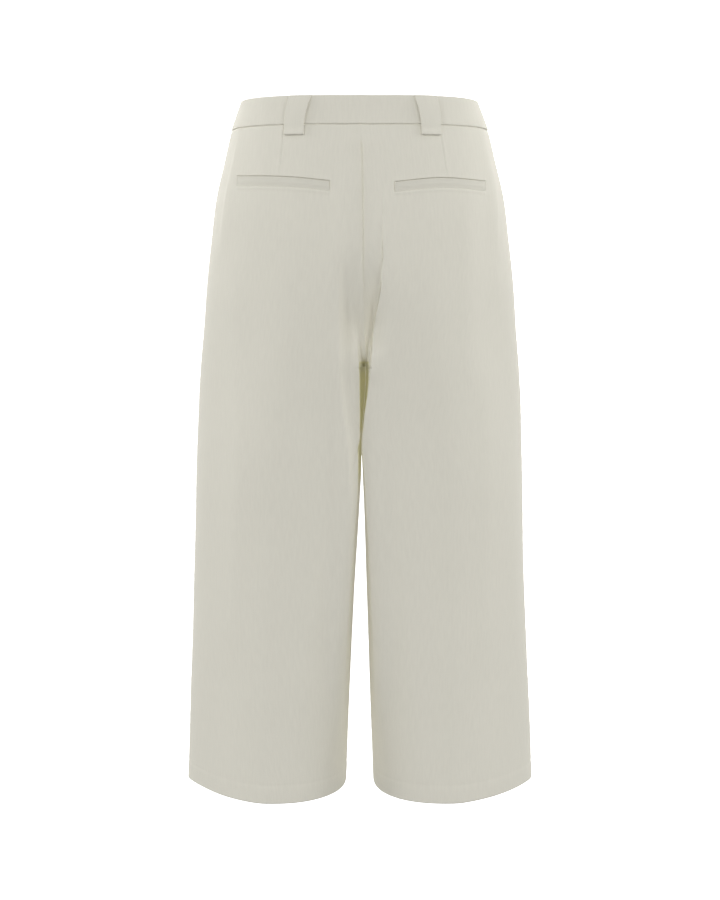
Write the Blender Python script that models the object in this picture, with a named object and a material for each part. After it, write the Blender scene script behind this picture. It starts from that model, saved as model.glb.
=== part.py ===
"""Culottes with a shaped waistband, two back welt pockets, belt loops and turned-up hems.

They stand out full and hollow, as on a wearer. The origin is the centre of the waist opening,
+Z is up, -Y is the garment's back and +X is the wearer's right. Sizes are in metres.
Each leg is a ring at every height. Above the crotch the ring is half of the body's oval, from the
centre back round the side to the centre front. Below it, the ring closes on itself at the inseam.
"""
import math
from collections import namedtuple

import bmesh
import bpy
import numpy as np
from mathutils import Vector

# Lengths down from the top of the waistband.
BAND_HEIGHT = 0.030
FORK_TOP = -0.1475  # the centre seams start to curve under here
CROTCH = -0.2805
FORK_SQUARE = 8.0  # how late the centre back seam turns forward: 2 is a quarter circle
LEGS_APART = -0.416  # from here down the rings are plain leg rings all round
HEM = -0.7305
HEM_TURN = 0.020
HEM_DIP = 0.0052  # each hem hangs this much lower between its seams, most on its inner half
DIP_SKEW = 0.75  # below 1, the lowest place is nearer to the inseam

# Cloth and seams.
CLOTH = 0.0016
HEM_CLOTH = 0.0028
FORK_CLOTH = 0.0030  # at the crossing of the seams below the fork
HEM_STEP = 0.0005  # the height over which the cloth thickens at the hem's upper edge
BAND_CLOTH = 0.0024
BAND_PROUD = 0.0004
SEAM_GAP = 0.0003

# How finely the panels are divided. Each share of the columns ends at its place round the ring,
# so that they stand closest at the leg's inner corner.
BACK_COLUMNS = 22
FRONT_COLUMNS = 18
COLUMN_SHARES = (0.0, 0.13, 0.54, 1.0)
COLUMN_PLACES = (0.0, 0.055, 0.165, 0.5)
INNER_SHARE = 1.7  # above 1, what becomes a leg's inner side is narrower on the body
END_ZONE = 0.15  # the share of a ring, from either end, that follows the curve of the fork
SEAT_ROWS = 5
FORK_ROWS = 8
LEG_ROWS = 11
BAND_COLUMNS = 56

# The front closure: the band's right end laps over its left end.
LAP_PAST_CENTRE = 0.004
LAP_UNDER = 0.030
LAP_STEP = 0.018
BUTTON_X = 0.014
BUTTON_RADIUS = 0.0085
BUTTON_THICKNESS = 0.0030
ZIP_LEFT = -0.012
ZIP_RIGHT = 0.030
ZIP_LENGTH = 0.130
ZIP_THICKNESS = 0.0012
ZIP_OFF = 0.0010  # behind the panels' smooth inside, because their flat facets stand in a little

# The outline at each height: half width, depth behind and before the side seams, how far the
# centre seams and inseams lean to the wearer's right, half of the space between the legs, what
# is added to that half behind the inseams, and how square the rings are (2 is an ellipse):
# outside at the back, outside at the front, and on the legs' inner sides.
Section = namedtuple(
    "Section",
    "z half_width back front lean half_gap valley square_back square_front square_in",
)
SECTIONS = (
    Section(0.000, 0.1265, 0.0970, 0.0930, 0.0000, 0.0002, 0.0000, 2.60, 2.40, 3.4),
    Section(-0.030, 0.1368, 0.1020, 0.0975, 0.0000, 0.0002, 0.0000, 2.50, 2.35, 3.4),
    Section(-0.060, 0.1440, 0.1095, 0.1025, 0.0022, 0.0002, 0.0000, 2.45, 2.30, 3.4),
    Section(-0.103, 0.1543, 0.1190, 0.1070, 0.0030, 0.0002, 0.0000, 2.40, 2.30, 3.6),
    Section(-0.148, 0.1598, 0.1260, 0.1095, 0.0034, 0.0002, 0.0000, 2.30, 2.30, 4.2),
    Section(-0.197, 0.1649, 0.1285, 0.1105, 0.0038, 0.0002, 0.0010, 2.20, 2.30, 5.2),
    Section(-0.242, 0.1681, 0.1265, 0.1105, 0.0046, 0.0002, 0.0032, 2.10, 2.30, 6.2),
    Section(-0.281, 0.1712, 0.1235, 0.1100, 0.0056, 0.0002, 0.0044, 2.00, 2.30, 6.5),
    Section(-0.307, 0.1728, 0.1213, 0.1094, 0.0043, 0.0002, 0.0018, 1.94, 2.28, 6.4),
    Section(-0.334, 0.1740, 0.1192, 0.1089, 0.0024, 0.0002, 0.0008, 1.88, 2.25, 6.0),
    Section(-0.360, 0.1749, 0.1179, 0.1087, 0.0006, 0.0003, 0.0002, 1.83, 2.22, 5.6),
    Section(-0.390, 0.1758, 0.1166, 0.1084, 0.0019, 0.0011, 0.0000, 1.78, 2.20, 5.1),
    Section(-0.430, 0.1768, 0.1154, 0.1080, 0.0017, 0.0028, 0.0000, 1.73, 2.20, 4.4),
    Section(-0.537, 0.1801, 0.1135, 0.1080, 0.0008, 0.0074, 0.0000, 1.61, 2.15, 3.2),
    Section(-0.648, 0.1845, 0.1125, 0.1085, 0.0000, 0.0117, 0.0000, 1.50, 2.10, 2.5),
    Section(-0.735, 0.1878, 0.1120, 0.1095, 0.0000, 0.0150, 0.0000, 1.42, 2.10, 2.3),
)
VALLEY_ZONE = 0.10  # the valley behind the inseams deepens over this share of a ring

# The back's inner corner below the seat: how far it stands from the inseam's side of the leg, and
# how much of its roundness is filled out, by height. The filling ends at CORNER_END from the
# centre, over a width of CORNER_FADE.
Corner = namedtuple("Corner", "z edge crisp")
CORNERS = (
    Corner(-0.200, 0.0100, 0.00),
    Corner(-0.232, 0.0080, 0.60),
    Corner(-0.252, 0.0062, 0.90),
    Corner(-0.268, 0.0056, 0.95),
    Corner(-0.281, 0.0048, 0.95),
    Corner(-0.298, 0.0043, 0.90),
    Corner(-0.314, 0.0034, 0.90),
    Corner(-0.334, 0.0020, 0.90),
    Corner(-0.355, 0.0016, 0.90),
    Corner(-0.420, 0.0026, 0.80),
    Corner(-0.500, 0.0040, 0.50),
    Corner(-0.600, 0.0050, 0.00),
)
CORNER_END = 0.045
CORNER_FADE = 0.025

# Soft ridges of cloth on the back, each through three points given as the distance from the
# centre and the height, with its half width across and its height off the cloth.
Fold = namedtuple("Fold", "leg x1 z1 x2 z2 x3 z3 width rise")
FOLDS = (
    Fold("left", 0.016, -0.103, 0.025, -0.205, 0.021, -0.262, 0.011, 0.0020),
    Fold("left", 0.020, -0.281, 0.013, -0.376, 0.012, -0.480, 0.010, 0.0022),
    Fold("left", 0.134, -0.212, 0.129, -0.346, 0.134, -0.553, 0.013, 0.0026),
    Fold("left", 0.128, -0.049, 0.134, -0.103, 0.141, -0.154, 0.011, 0.0015),
    Fold("right", 0.021, -0.148, 0.021, -0.202, 0.011, -0.280, 0.010, 0.0024),
    Fold("right", 0.010, -0.296, 0.005, -0.346, 0.004, -0.396, 0.009, 0.0018),
    Fold("right", 0.110, -0.113, 0.113, -0.192, 0.115, -0.272, 0.012, 0.0014),
    Fold("right", 0.133, -0.296, 0.135, -0.426, 0.130, -0.553, 0.013, 0.0026),
    Fold("right", 0.133, -0.063, 0.141, -0.140, 0.139, -0.190, 0.011, 0.0015),
)
FOLD_FADE = 0.040  # a ridge sinks into the cloth over this length at each end
SEAM_FADE = 0.03  # and over this share of the ring beside a seam

# Belt loops: the side of the centre that they are on (+1 is the wearer's right), front or back,
# the distance from the centre at the top and at the bottom.
Loop = namedtuple("Loop", "name side facing x_top x_bottom")
LOOPS = (
    Loop("loop_back_left", -1, "back", 0.0608, 0.0672),
    Loop("loop_back_right", 1, "back", 0.0672, 0.0732),
    Loop("loop_front_left", -1, "front", 0.0630, 0.0690),
    Loop("loop_front_right", 1, "front", 0.0630, 0.0690),
)
LOOP_WIDTH_TOP = 0.0235
LOOP_WIDTH_BOTTOM = 0.0200
LOOP_CLOTH = 0.0014
# A loop's run from the band's top edge to its folded end: how far down it is, how far its
# underside stands off the band, and how thick it is there.
Strap = namedtuple("Strap", "z off thick")
STRAP = (
    Strap(-0.0005, SEAM_GAP, LOOP_CLOTH),
    Strap(-0.0045, 0.0012, LOOP_CLOTH),
    Strap(-0.0110, 0.0022, LOOP_CLOTH),
    Strap(-0.0230, 0.0023, LOOP_CLOTH),
    Strap(-0.0310, 0.0018, LOOP_CLOTH),
    Strap(-0.0360, 0.0009, LOOP_CLOTH),
    Strap(-0.0385, SEAM_GAP, 2 * LOOP_CLOTH),
    Strap(-0.0418, SEAM_GAP, 2 * LOOP_CLOTH),
)

# Welts of the back pockets: their ends as distances from the centre, and the height of the top
# edge at the inner end, the middle and the outer end.
Welt = namedtuple("Welt", "name side x_inner x_outer z_inner z_middle z_outer")
WELTS = (
    Welt("welt_left", -1, 0.0307, 0.1267, -0.0895, -0.0846, -0.0826),
    Welt("welt_right", 1, 0.0357, 0.1302, -0.0906, -0.0859, -0.0876),
)
WELT_HEIGHT = 0.0100
WELT_CLOTH = 0.0014
WELT_COLUMNS = 10

CREAM = (0.64, 0.62, 0.55)
CREAM_SHADE = (0.58, 0.56, 0.49)
HORN = (0.50, 0.45, 0.36)
TAPE = (0.55, 0.53, 0.46)


def at_height(z, column, table=SECTIONS):
    """A column of a table at any height, on a smooth curve through its rows."""
    heights = np.array([-row.z for row in table])
    values = np.array([getattr(row, column) for row in table])
    slopes = np.gradient(values, heights)
    depth = min(max(-z, heights[0]), heights[-1])
    i = min(int(np.searchsorted(heights, depth, side="right")) - 1, len(heights) - 2)
    span = heights[i + 1] - heights[i]
    t = (depth - heights[i]) / span
    start = values[i] * (1 + 2 * t) * (1 - t) ** 2 + slopes[i] * span * t * (1 - t) ** 2
    end = values[i + 1] * t * t * (3 - 2 * t) - slopes[i + 1] * span * t * t * (1 - t)
    return float(start + end)


def oval(angle, half_width, half_depth, squareness):
    """The point of a rounded oval that lies at an angle, seen from its centre."""
    across, along = math.cos(angle), math.sin(angle)
    total = abs(across / half_width) ** squareness + abs(along / half_depth) ** squareness
    reach = total ** (-1 / squareness)
    return reach * across, reach * along


def clamp(value):
    """The value, kept between 0 and 1."""
    return min(max(value, 0.0), 1.0)


def ease(value):
    """A soft step from 0 to 1."""
    value = clamp(value)
    return value * value * (3 - 2 * value)


def leg_share(u, z, inset):
    """How far a ring has turned from half of the body, 0, into a leg, 1.

    Its ends run along the fork's curves, and the rest of it turns over a longer height.
    """
    depth = clamp((FORK_TOP - z) / (FORK_TOP - CROTCH - FORK_CLOTH * inset / CLOTH))
    square = FORK_SQUARE if u < 0.5 else 2
    ends = 1 - (1 - depth ** square) ** (1 / square)
    rest = ease((FORK_TOP - z) / (FORK_TOP - LEGS_APART))
    return rest + (ends - rest) * ease(1 - min(u, 1 - u) / END_ZONE)


def body_place(u, power=INNER_SHARE):
    """The place on the body's half ring, from 0 to 1, of a place on the leg's ring."""
    if u > 0.5:
        return 1 - body_place(1 - u, power)
    return 0.5 * (2 * u) ** power


def ring_point(u, z, inset):
    """Where a leg's smooth ring is at u, in plan.

    u runs from 0 at the centre back or inseam, past 0.5 at the side seam, to 1 at the front.
    """
    half_width = at_height(z, "half_width") - inset
    facing = "back" if u < 0.5 else "front"
    half_depth = at_height(z, facing) - inset
    valley = at_height(z, "valley") * ease(u / VALLEY_ZONE) if u < 0.5 else 0.0
    half_gap = max(at_height(z, "half_gap"), SEAM_GAP / 2) + valley + inset
    square_out = at_height(z, f"square_{facing}")
    body_x, body_y = oval(math.pi * (body_place(u) - 0.5), half_width, half_depth, square_out)
    square_leg = square_out if 0.25 < u < 0.75 else at_height(z, "square_in")
    leg_x, leg_y = oval(math.tau * (u - 0.5), (half_width - half_gap) / 2, half_depth, square_leg)
    leg_x += (half_width + half_gap) / 2
    share = leg_share(u, z, inset)
    x = body_x + share * (leg_x - body_x)
    y = body_y + share * (leg_y - body_y)
    if u < 0.5:
        off = x - share * (max(at_height(z, "half_gap"), SEAM_GAP / 2) + inset)
        filled = corner_filling(off, x, z)
        flat = -half_depth * (1 - clamp(x / half_width) ** square_out) ** (1 / square_out)
        x += filled * (1 - share) * inset
        y += filled * min(flat - y, 0)
    return x, y


def corner_filling(off, x, z):
    """How much the back's inner corner is filled out, at off from the inseam's side of the leg."""
    crisp = at_height(z, "crisp", CORNERS)
    beside = ease((off / at_height(z, "edge", CORNERS) - 0.4) / 0.7)
    return crisp * beside * ease((CORNER_END - x) / CORNER_FADE)


def fold_rise(leg, x, z):
    """How far the ridges lift the cloth of a leg's back at a point."""
    rise = 0.0
    for fold in FOLDS:
        if fold.leg != leg:
            continue
        fade = ease(min(fold.z1 - z, z - fold.z3) / FOLD_FADE + 0.5)
        middle = np.interp(-z, (-fold.z1, -fold.z2, -fold.z3), (fold.x1, fold.x2, fold.x3))
        across = (x - middle) / fold.width
        rise += fold.rise * fade * math.exp(-across * across)
    return rise


def lean(u, z):
    """How far a point leans to the wearer's right: most beside the centre seams and inseams."""
    amount = at_height(z, "lean") * (1 - 2 * min(u, 1 - u)) ** 2
    if u > 0.5:
        amount *= ease((FORK_TOP - z) / (FORK_TOP - CROTCH))
    return amount


def surface(side, u, z, inset):
    """A point of the garment's surface, moved in by inset, on its left (-1) or right (+1)."""
    x, y = ring_point(u, z, inset)
    if u < 0.5:
        x0, y0 = ring_point(max(u - 0.005, 0), z, inset)
        x1, y1 = ring_point(min(u + 0.005, 0.5), z, inset)
        normal = Vector((y1 - y0, x0 - x1)).normalized()
        leg = "left" if side < 0 else "right"
        rise = clamp(min(u, 0.5 - u) / SEAM_FADE) * fold_rise(leg, x, z)
        x += normal.x * rise
        y += normal.y * rise
    return Vector((side * x + lean(u, z), y, z))


def dip(u, z):
    """How much lower the cloth hangs at u than at the seams."""
    share = clamp((CROTCH - z) / (CROTCH - HEM))
    place = (2 * min(u, 1 - u)) ** DIP_SKEW
    return HEM_DIP * share * share * math.sin(math.pi * place) ** 2


def wall(name, outer, inner, colour):
    """A closed solid between two grids of points that have the same rows and columns."""
    bm = bmesh.new()
    skins = [[[bm.verts.new(p) for p in row] for row in grid] for grid in (outer, inner)]
    out, back = skins
    rows, columns = len(out), len(out[0])
    for i in range(rows - 1):
        for j in range(columns - 1):
            for skin in skins:
                bm.faces.new((skin[i][j], skin[i][j + 1], skin[i + 1][j + 1], skin[i + 1][j]))
    for j in range(columns - 1):
        for i in (0, rows - 1):
            bm.faces.new((out[i][j], out[i][j + 1], back[i][j + 1], back[i][j]))
    for i in range(rows - 1):
        for j in (0, columns - 1):
            bm.faces.new((out[i][j], out[i + 1][j], back[i + 1][j], back[i][j]))
    bmesh.ops.recalc_face_normals(bm, faces=bm.faces)
    return add_object(name, bm, colour)


def add_object(name, bm, colour, roughness=0.9):
    """A smooth-shaded object with its own plain material."""
    mesh = bpy.data.meshes.new(name)
    bm.to_mesh(mesh)
    bm.free()
    mesh.shade_smooth()
    mesh.set_sharp_from_angle(angle=math.radians(35))
    material = bpy.data.materials.new(name)
    material.use_nodes = True
    shader = material.node_tree.nodes["Principled BSDF"]
    shader.inputs["Base Color"].default_value = (*colour, 1)
    shader.inputs["Roughness"].default_value = roughness
    mesh.materials.append(material)
    thing = bpy.data.objects.new(name, mesh)
    bpy.context.collection.objects.link(thing)
    return thing


def panel_heights():
    """The heights of a panel's rows: seat, fork, leg and the turned-up hem."""
    top = -BAND_HEIGHT - SEAM_GAP
    seat = list(np.linspace(top, FORK_TOP, SEAT_ROWS + 1))
    bends = [math.pi / 2 * k / FORK_ROWS for k in range(1, FORK_ROWS - 1)]
    fork = [FORK_TOP + (CROTCH - FORK_TOP) * math.sin(bend) for bend in bends]
    hem_top = HEM + HEM_TURN
    leg = list(np.linspace(CROTCH, hem_top, LEG_ROWS + 1))
    return seat + fork + [CROTCH + FORK_CLOTH] + leg + [hem_top - HEM_STEP, HEM]


def panel(name, side, facing):
    """One of the four panels, from the waistband to the hem."""
    back = facing == "back"
    count = BACK_COLUMNS if back else FRONT_COLUMNS
    places = list(np.interp(np.linspace(0, 1, count + 1), COLUMN_SHARES, COLUMN_PLACES))
    if not back:
        places = [1 - u for u in places]
    grids = ([], [])
    for z in panel_heights():
        wall_here = CLOTH if z > HEM + HEM_TURN - HEM_STEP / 2 else HEM_CLOTH
        for grid, inset in zip(grids, (0.0, wall_here)):
            row = []
            for u in places:
                point = surface(side, u, z, inset)
                point.z -= dip(u, z)
                seam = lean(u, z)
                point.x = seam + side * max(side * (point.x - seam), SEAM_GAP / 2)
                if back:
                    point.y = min(point.y, -SEAM_GAP / 2)
                else:
                    point.y = max(point.y, SEAM_GAP / 2)
                row.append(point)
            grid.append(row)
    return wall(name, *grids, CREAM)


def round_point(angle, z, inset):
    """A point of the body's whole ring above the fork, by its angle from +X."""
    side = 1 if math.cos(angle) >= 0 else -1
    body = clamp(0.5 + math.asin(math.sin(angle)) / math.pi)
    return surface(side, body_place(body, 1 / INNER_SHARE), z, inset)


def angle_of(x, z, inset, facing):
    """The angle of the body's ring at which its points are x from the centre, found by halving."""
    low, high = 0.0, math.pi / 2
    sign = 1 if facing == "front" else -1
    for _ in range(30):
        middle = (low + high) / 2
        if abs(round_point(sign * middle, z, inset).x) > abs(x):
            low = middle
        else:
            high = middle
    angle = sign * (low + high) / 2
    return angle if x >= 0 else math.pi - angle


def waistband():
    """The band, its left end stepped in to pass under its right end at the centre front."""
    grids = ([], [])
    under = angle_of(LAP_UNDER, 0, 0, "front")
    over = angle_of(-LAP_PAST_CENTRE, 0, 0, "front")
    step_start = angle_of(-LAP_PAST_CENTRE - 0.002, 0, 0, "front")
    step_end = angle_of(-LAP_PAST_CENTRE - LAP_STEP, 0, 0, "front")
    steps = list(np.linspace(under, step_start, 5)) + list(np.linspace(step_start, step_end, 5)[1:])
    rest = list(np.linspace(step_end, over + math.tau, BAND_COLUMNS)[1:])
    for z in (0.0, -BAND_HEIGHT / 2, -BAND_HEIGHT):
        for grid, inset in zip(grids, (-BAND_PROUD, BAND_CLOTH - BAND_PROUD)):
            row = []
            for angle in steps + rest:
                sunk = (BAND_CLOTH + SEAM_GAP) * ease((step_end - angle) / (step_end - step_start))
                row.append(round_point(angle, z, inset + sunk))
            grid.append(row)
    return wall("waistband", *grids, CREAM)


def loop_point(loop, across, row, lift):
    """A point of a belt loop, across its width from -1 to 1."""
    down = (row.z - STRAP[0].z) / (STRAP[-1].z - STRAP[0].z)
    middle = loop.x_top + (loop.x_bottom - loop.x_top) * down
    width = LOOP_WIDTH_TOP + (LOOP_WIDTH_BOTTOM - LOOP_WIDTH_TOP) * down
    x = loop.side * (middle + across * width / 2)
    angle = angle_of(x, row.z, 0, loop.facing)
    return round_point(angle, row.z, -BAND_PROUD - row.off - lift)


def belt_loop(loop):
    """A strap over the waistband, held at the band's top edge and at its folded lower end."""
    outer = []
    inner = []
    for row in STRAP:
        outer.append([loop_point(loop, k / 2 - 1, row, row.thick) for k in range(5)])
        inner.append([loop_point(loop, k / 2 - 1, row, 0) for k in range(5)])
    return wall(loop.name, outer, inner, CREAM)


def welt(spec):
    """The folded strip along a back pocket's opening, on the panel."""
    outer = []
    inner = []
    for part in (0.0, 0.5, 1.0):
        outer_row = []
        inner_row = []
        for k in range(WELT_COLUMNS + 1):
            along = k / WELT_COLUMNS
            x = spec.side * (spec.x_inner + (spec.x_outer - spec.x_inner) * along)
            top = np.interp(along, (0, 0.5, 1), (spec.z_inner, spec.z_middle, spec.z_outer))
            z = float(top) - part * WELT_HEIGHT
            angle = angle_of(x, z, 0, "back")
            outer_row.append(round_point(angle, z, -SEAM_GAP - WELT_CLOTH))
            inner_row.append(round_point(angle, z, -SEAM_GAP))
        outer.append(outer_row)
        inner.append(inner_row)
    return wall(spec.name, outer, inner, CREAM_SHADE)


def fly_zip():
    """The closed zip's tapes and chain, behind the edges of the front panels."""
    outer = []
    inner = []
    top = -BAND_HEIGHT - 0.002
    for z in np.linspace(top, top - ZIP_LENGTH, 11):
        outer_row = []
        inner_row = []
        for x in np.linspace(ZIP_LEFT, ZIP_RIGHT, 5):
            angle = angle_of(x, z, CLOTH, "front")
            outer_row.append(round_point(angle, z, CLOTH + ZIP_OFF))
            inner_row.append(round_point(angle, z, CLOTH + ZIP_OFF + ZIP_THICKNESS))
        outer.append(outer_row)
        inner.append(inner_row)
    return wall("fly_zip", outer, inner, TAPE)


def button():
    """A flat button with a raised rim, standing on the lap of the waistband."""
    z = -BAND_HEIGHT / 2
    angle = angle_of(BUTTON_X, z, -BAND_PROUD, "front")
    seat = round_point(angle, z, -BAND_PROUD - SEAM_GAP)
    beside = round_point(angle + 0.02, z, -BAND_PROUD - SEAM_GAP)
    above = round_point(angle, z + 0.01, -BAND_PROUD - SEAM_GAP)
    across = (seat - beside).normalized()
    out = (above - seat).cross(across).normalized()
    profile = (
        (0.0, 0.0),
        (BUTTON_RADIUS - 0.001, 0.0),
        (BUTTON_RADIUS, 0.001),
        (BUTTON_RADIUS, BUTTON_THICKNESS - 0.0008),
        (BUTTON_RADIUS - 0.0008, BUTTON_THICKNESS),
        (BUTTON_RADIUS - 0.0022, BUTTON_THICKNESS - 0.0002),
        (BUTTON_RADIUS - 0.0034, BUTTON_THICKNESS - 0.0011),
        (0.0, BUTTON_THICKNESS - 0.0013),
    )
    bm = bmesh.new()
    verts = [bm.verts.new((radius, 0, height)) for radius, height in profile]
    edges = [bm.edges.new(pair) for pair in zip(verts, verts[1:])]
    bmesh.ops.spin(bm, geom=verts + edges, cent=(0, 0, 0), axis=(0, 0, 1), angle=math.tau, steps=24)
    bmesh.ops.remove_doubles(bm, verts=bm.verts, dist=0.00001)
    bmesh.ops.recalc_face_normals(bm, faces=bm.faces)
    thing = add_object("button", bm, HORN, roughness=0.35)
    thing.location = seat
    thing.rotation_mode = "QUATERNION"
    thing.rotation_quaternion = out.to_track_quat("Z", "Y")
    return thing


def build():
    for thing in list(bpy.data.objects):
        bpy.data.objects.remove(thing, do_unlink=True)
    for facing in ("back", "front"):
        panel(f"{facing}_left", -1, facing)
        panel(f"{facing}_right", 1, facing)
    waistband()
    for loop in LOOPS:
        belt_loop(loop)
    for spec in WELTS:
        welt(spec)
    fly_zip()
    button()


build()
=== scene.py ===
"""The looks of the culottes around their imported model: cloth, sewing, button, zip, light, camera.

Sizes are in metres, in the model's own frame: the origin is the centre of the waist opening, +Z is
up, -Y is the garment's back and +X is the wearer's right. All cloth lies on one form. A place on
it is (side, u, z): side is LEFT or RIGHT, and u runs round that leg's ring from 0 at the centre
back or inseam, past 0.5 at the side seam, to 1 at the centre front or inseam.
"""
import math
from collections import namedtuple

import bmesh
import bpy
import numpy as np
from mathutils import Matrix, Vector


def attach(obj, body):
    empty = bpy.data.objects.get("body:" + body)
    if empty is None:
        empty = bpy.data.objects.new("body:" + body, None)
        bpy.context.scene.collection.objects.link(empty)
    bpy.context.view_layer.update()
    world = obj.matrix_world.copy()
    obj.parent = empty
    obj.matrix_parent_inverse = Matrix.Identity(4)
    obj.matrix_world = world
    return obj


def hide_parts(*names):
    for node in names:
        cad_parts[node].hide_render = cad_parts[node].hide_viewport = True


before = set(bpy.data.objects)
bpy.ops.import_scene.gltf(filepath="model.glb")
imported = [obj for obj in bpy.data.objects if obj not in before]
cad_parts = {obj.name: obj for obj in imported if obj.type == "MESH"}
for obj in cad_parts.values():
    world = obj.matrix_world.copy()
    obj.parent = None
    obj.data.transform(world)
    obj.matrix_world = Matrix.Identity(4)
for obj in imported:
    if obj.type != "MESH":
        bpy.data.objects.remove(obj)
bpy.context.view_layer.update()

# The camera: level with the lower seat, tilted down to the middle of the garment.
CAMERA_PLACE = (0.0003, -2.4, -0.22)
CAMERA_TILT = math.radians(3.636)
CAMERA_LENS = 88.84

LEFT, RIGHT = -1, 1
LEGS = {LEFT: "left", RIGHT: "right"}

# Lengths down from the top of the waistband.
BAND_HEIGHT = 0.030
FORK_TOP = -0.1475
CROTCH = -0.2805
LEGS_APART = -0.416
HEM = -0.7305
HEM_TURN = 0.020
HEM_DIP = 0.0052
DIP_SKEW = 0.75

# The form's smaller sizes.
FORK_SQUARE = 8.0
INNER_SHARE = 1.7
END_ZONE = 0.15
VALLEY_ZONE = 0.10
CORNER_REACH = 0.045
CORNER_FADE = 0.025
SEAM_GAP = 0.0003
BAND_CLOTH = 0.0024
BAND_PROUD = 0.0004
PANEL_TOP = -BAND_HEIGHT - SEAM_GAP

# Cloth as it is sewn.
CLOTH = 0.0012
HEM_CLOTH = 0.0024
SEAM_SPACE = 0.00004
CENTRE_DEPTH = 0.00012
SIDE_DEPTH = 0.0007
SEAM_WIDTH = 0.0011
SEAM_PUCKER = 0.0135
TOP_ROLL = 0.0007
HEM_STITCH = 0.0085
HEM_STEP = 0.00020
HEM_DENT = 0.00022
STITCH_RADIUS = 0.00022

# Below the fork the inseams sway to the wearer's right, as (distance, height) points, and those
# in front sway further, so that the legs close there.
SWAY = (
    (0.0, -0.270), (0.0014, -0.295), (0.0015, -0.340), (0.0010, -0.380), (0.0009, -0.430),
    (0.0, -0.520),
)
SWAY_FADE = 0.012
SWAY_END = -0.386
FRONT_SWAY = 0.0040
FRONT_SWAY_ZONE = 0.08

Section = namedtuple(
    "Section",
    "z half_width back front lean half_gap valley square_back square_front square_in",
)
SECTIONS = (
    Section(0.000, 0.1265, 0.0970, 0.0930, 0.0000, 0.0002, 0.0000, 2.60, 2.40, 3.4),
    Section(-0.030, 0.1368, 0.1020, 0.0975, 0.0000, 0.0002, 0.0000, 2.50, 2.35, 3.4),
    Section(-0.060, 0.1440, 0.1095, 0.1025, 0.0022, 0.0002, 0.0000, 2.45, 2.30, 3.4),
    Section(-0.103, 0.1543, 0.1190, 0.1070, 0.0030, 0.0002, 0.0000, 2.40, 2.30, 3.6),
    Section(-0.148, 0.1598, 0.1260, 0.1095, 0.0034, 0.0002, 0.0000, 2.30, 2.30, 4.2),
    Section(-0.197, 0.1649, 0.1285, 0.1105, 0.0038, 0.0002, 0.0010, 2.20, 2.30, 5.2),
    Section(-0.242, 0.1681, 0.1265, 0.1105, 0.0046, 0.0002, 0.0032, 2.10, 2.30, 6.2),
    Section(-0.281, 0.1712, 0.1235, 0.1100, 0.0056, 0.0002, 0.0044, 2.00, 2.30, 6.5),
    Section(-0.307, 0.1728, 0.1213, 0.1094, 0.0043, 0.0002, 0.0018, 1.94, 2.28, 6.4),
    Section(-0.334, 0.1740, 0.1192, 0.1089, 0.0024, 0.0002, 0.0008, 1.88, 2.25, 6.0),
    Section(-0.360, 0.1749, 0.1179, 0.1087, 0.0006, 0.0003, 0.0002, 1.83, 2.22, 5.6),
    Section(-0.390, 0.1758, 0.1166, 0.1084, 0.0019, 0.0011, 0.0000, 1.78, 2.20, 5.1),
    Section(-0.430, 0.1768, 0.1154, 0.1080, 0.0017, 0.0028, 0.0000, 1.73, 2.20, 4.4),
    Section(-0.537, 0.1801, 0.1135, 0.1080, 0.0008, 0.0074, 0.0000, 1.61, 2.15, 3.2),
    Section(-0.648, 0.1845, 0.1125, 0.1085, 0.0000, 0.0117, 0.0000, 1.50, 2.10, 2.5),
    Section(-0.735, 0.1878, 0.1120, 0.1095, 0.0000, 0.0150, 0.0000, 1.42, 2.10, 2.3),
)

# How far the back's inner corner stands from the inseam's side, and how crisp it is, by height.
Corner = namedtuple("Corner", "z edge crisp")
CORNERS = (
    Corner(-0.235, 0.0080, 0.00), Corner(-0.252, 0.0062, 0.40), Corner(-0.268, 0.0056, 0.85),
    Corner(-0.281, 0.0048, 0.95), Corner(-0.298, 0.0043, 0.90),
    Corner(-0.314, 0.0034, 0.90), Corner(-0.334, 0.0020, 0.90), Corner(-0.355, 0.0016, 0.90),
    Corner(-0.420, 0.0026, 0.80), Corner(-0.500, 0.0040, 0.60), Corner(-0.600, 0.0050, 0.40),
    Corner(-0.700, 0.0060, 0.00),
)

# The edges of the hollow behind the fork, as (distance, height) points: the left leg's inner
# crease and the edge where the right leg laps over.
CREASE_LEFT = (
    (0.0145, -0.085), (0.0160, -0.109), (0.0201, -0.150), (0.0222, -0.180), (0.0222, -0.252),
    (0.0213, -0.298), (0.0172, -0.334), (0.0142, -0.355), (0.0122, -0.377), (0.0119, -0.482),
    (0.0135, -0.560),
)
LAP_EDGE = (
    (0.0240, -0.170), (0.0218, -0.196), (0.0197, -0.211), (0.0156, -0.231), (0.0126, -0.252),
    (0.0116, -0.267), (0.0105, -0.280), (0.0090, -0.298), (0.0070, -0.314), (0.0034, -0.334),
    (0.0014, -0.355), (0.0030, -0.385), (0.0054, -0.430), (0.0090, -0.537), (0.0120, -0.648),
    (0.0155, -0.735),
)
CREASES = {LEFT: CREASE_LEFT, RIGHT: LAP_EDGE}
LAP_STEEP = 0.0010
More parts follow.
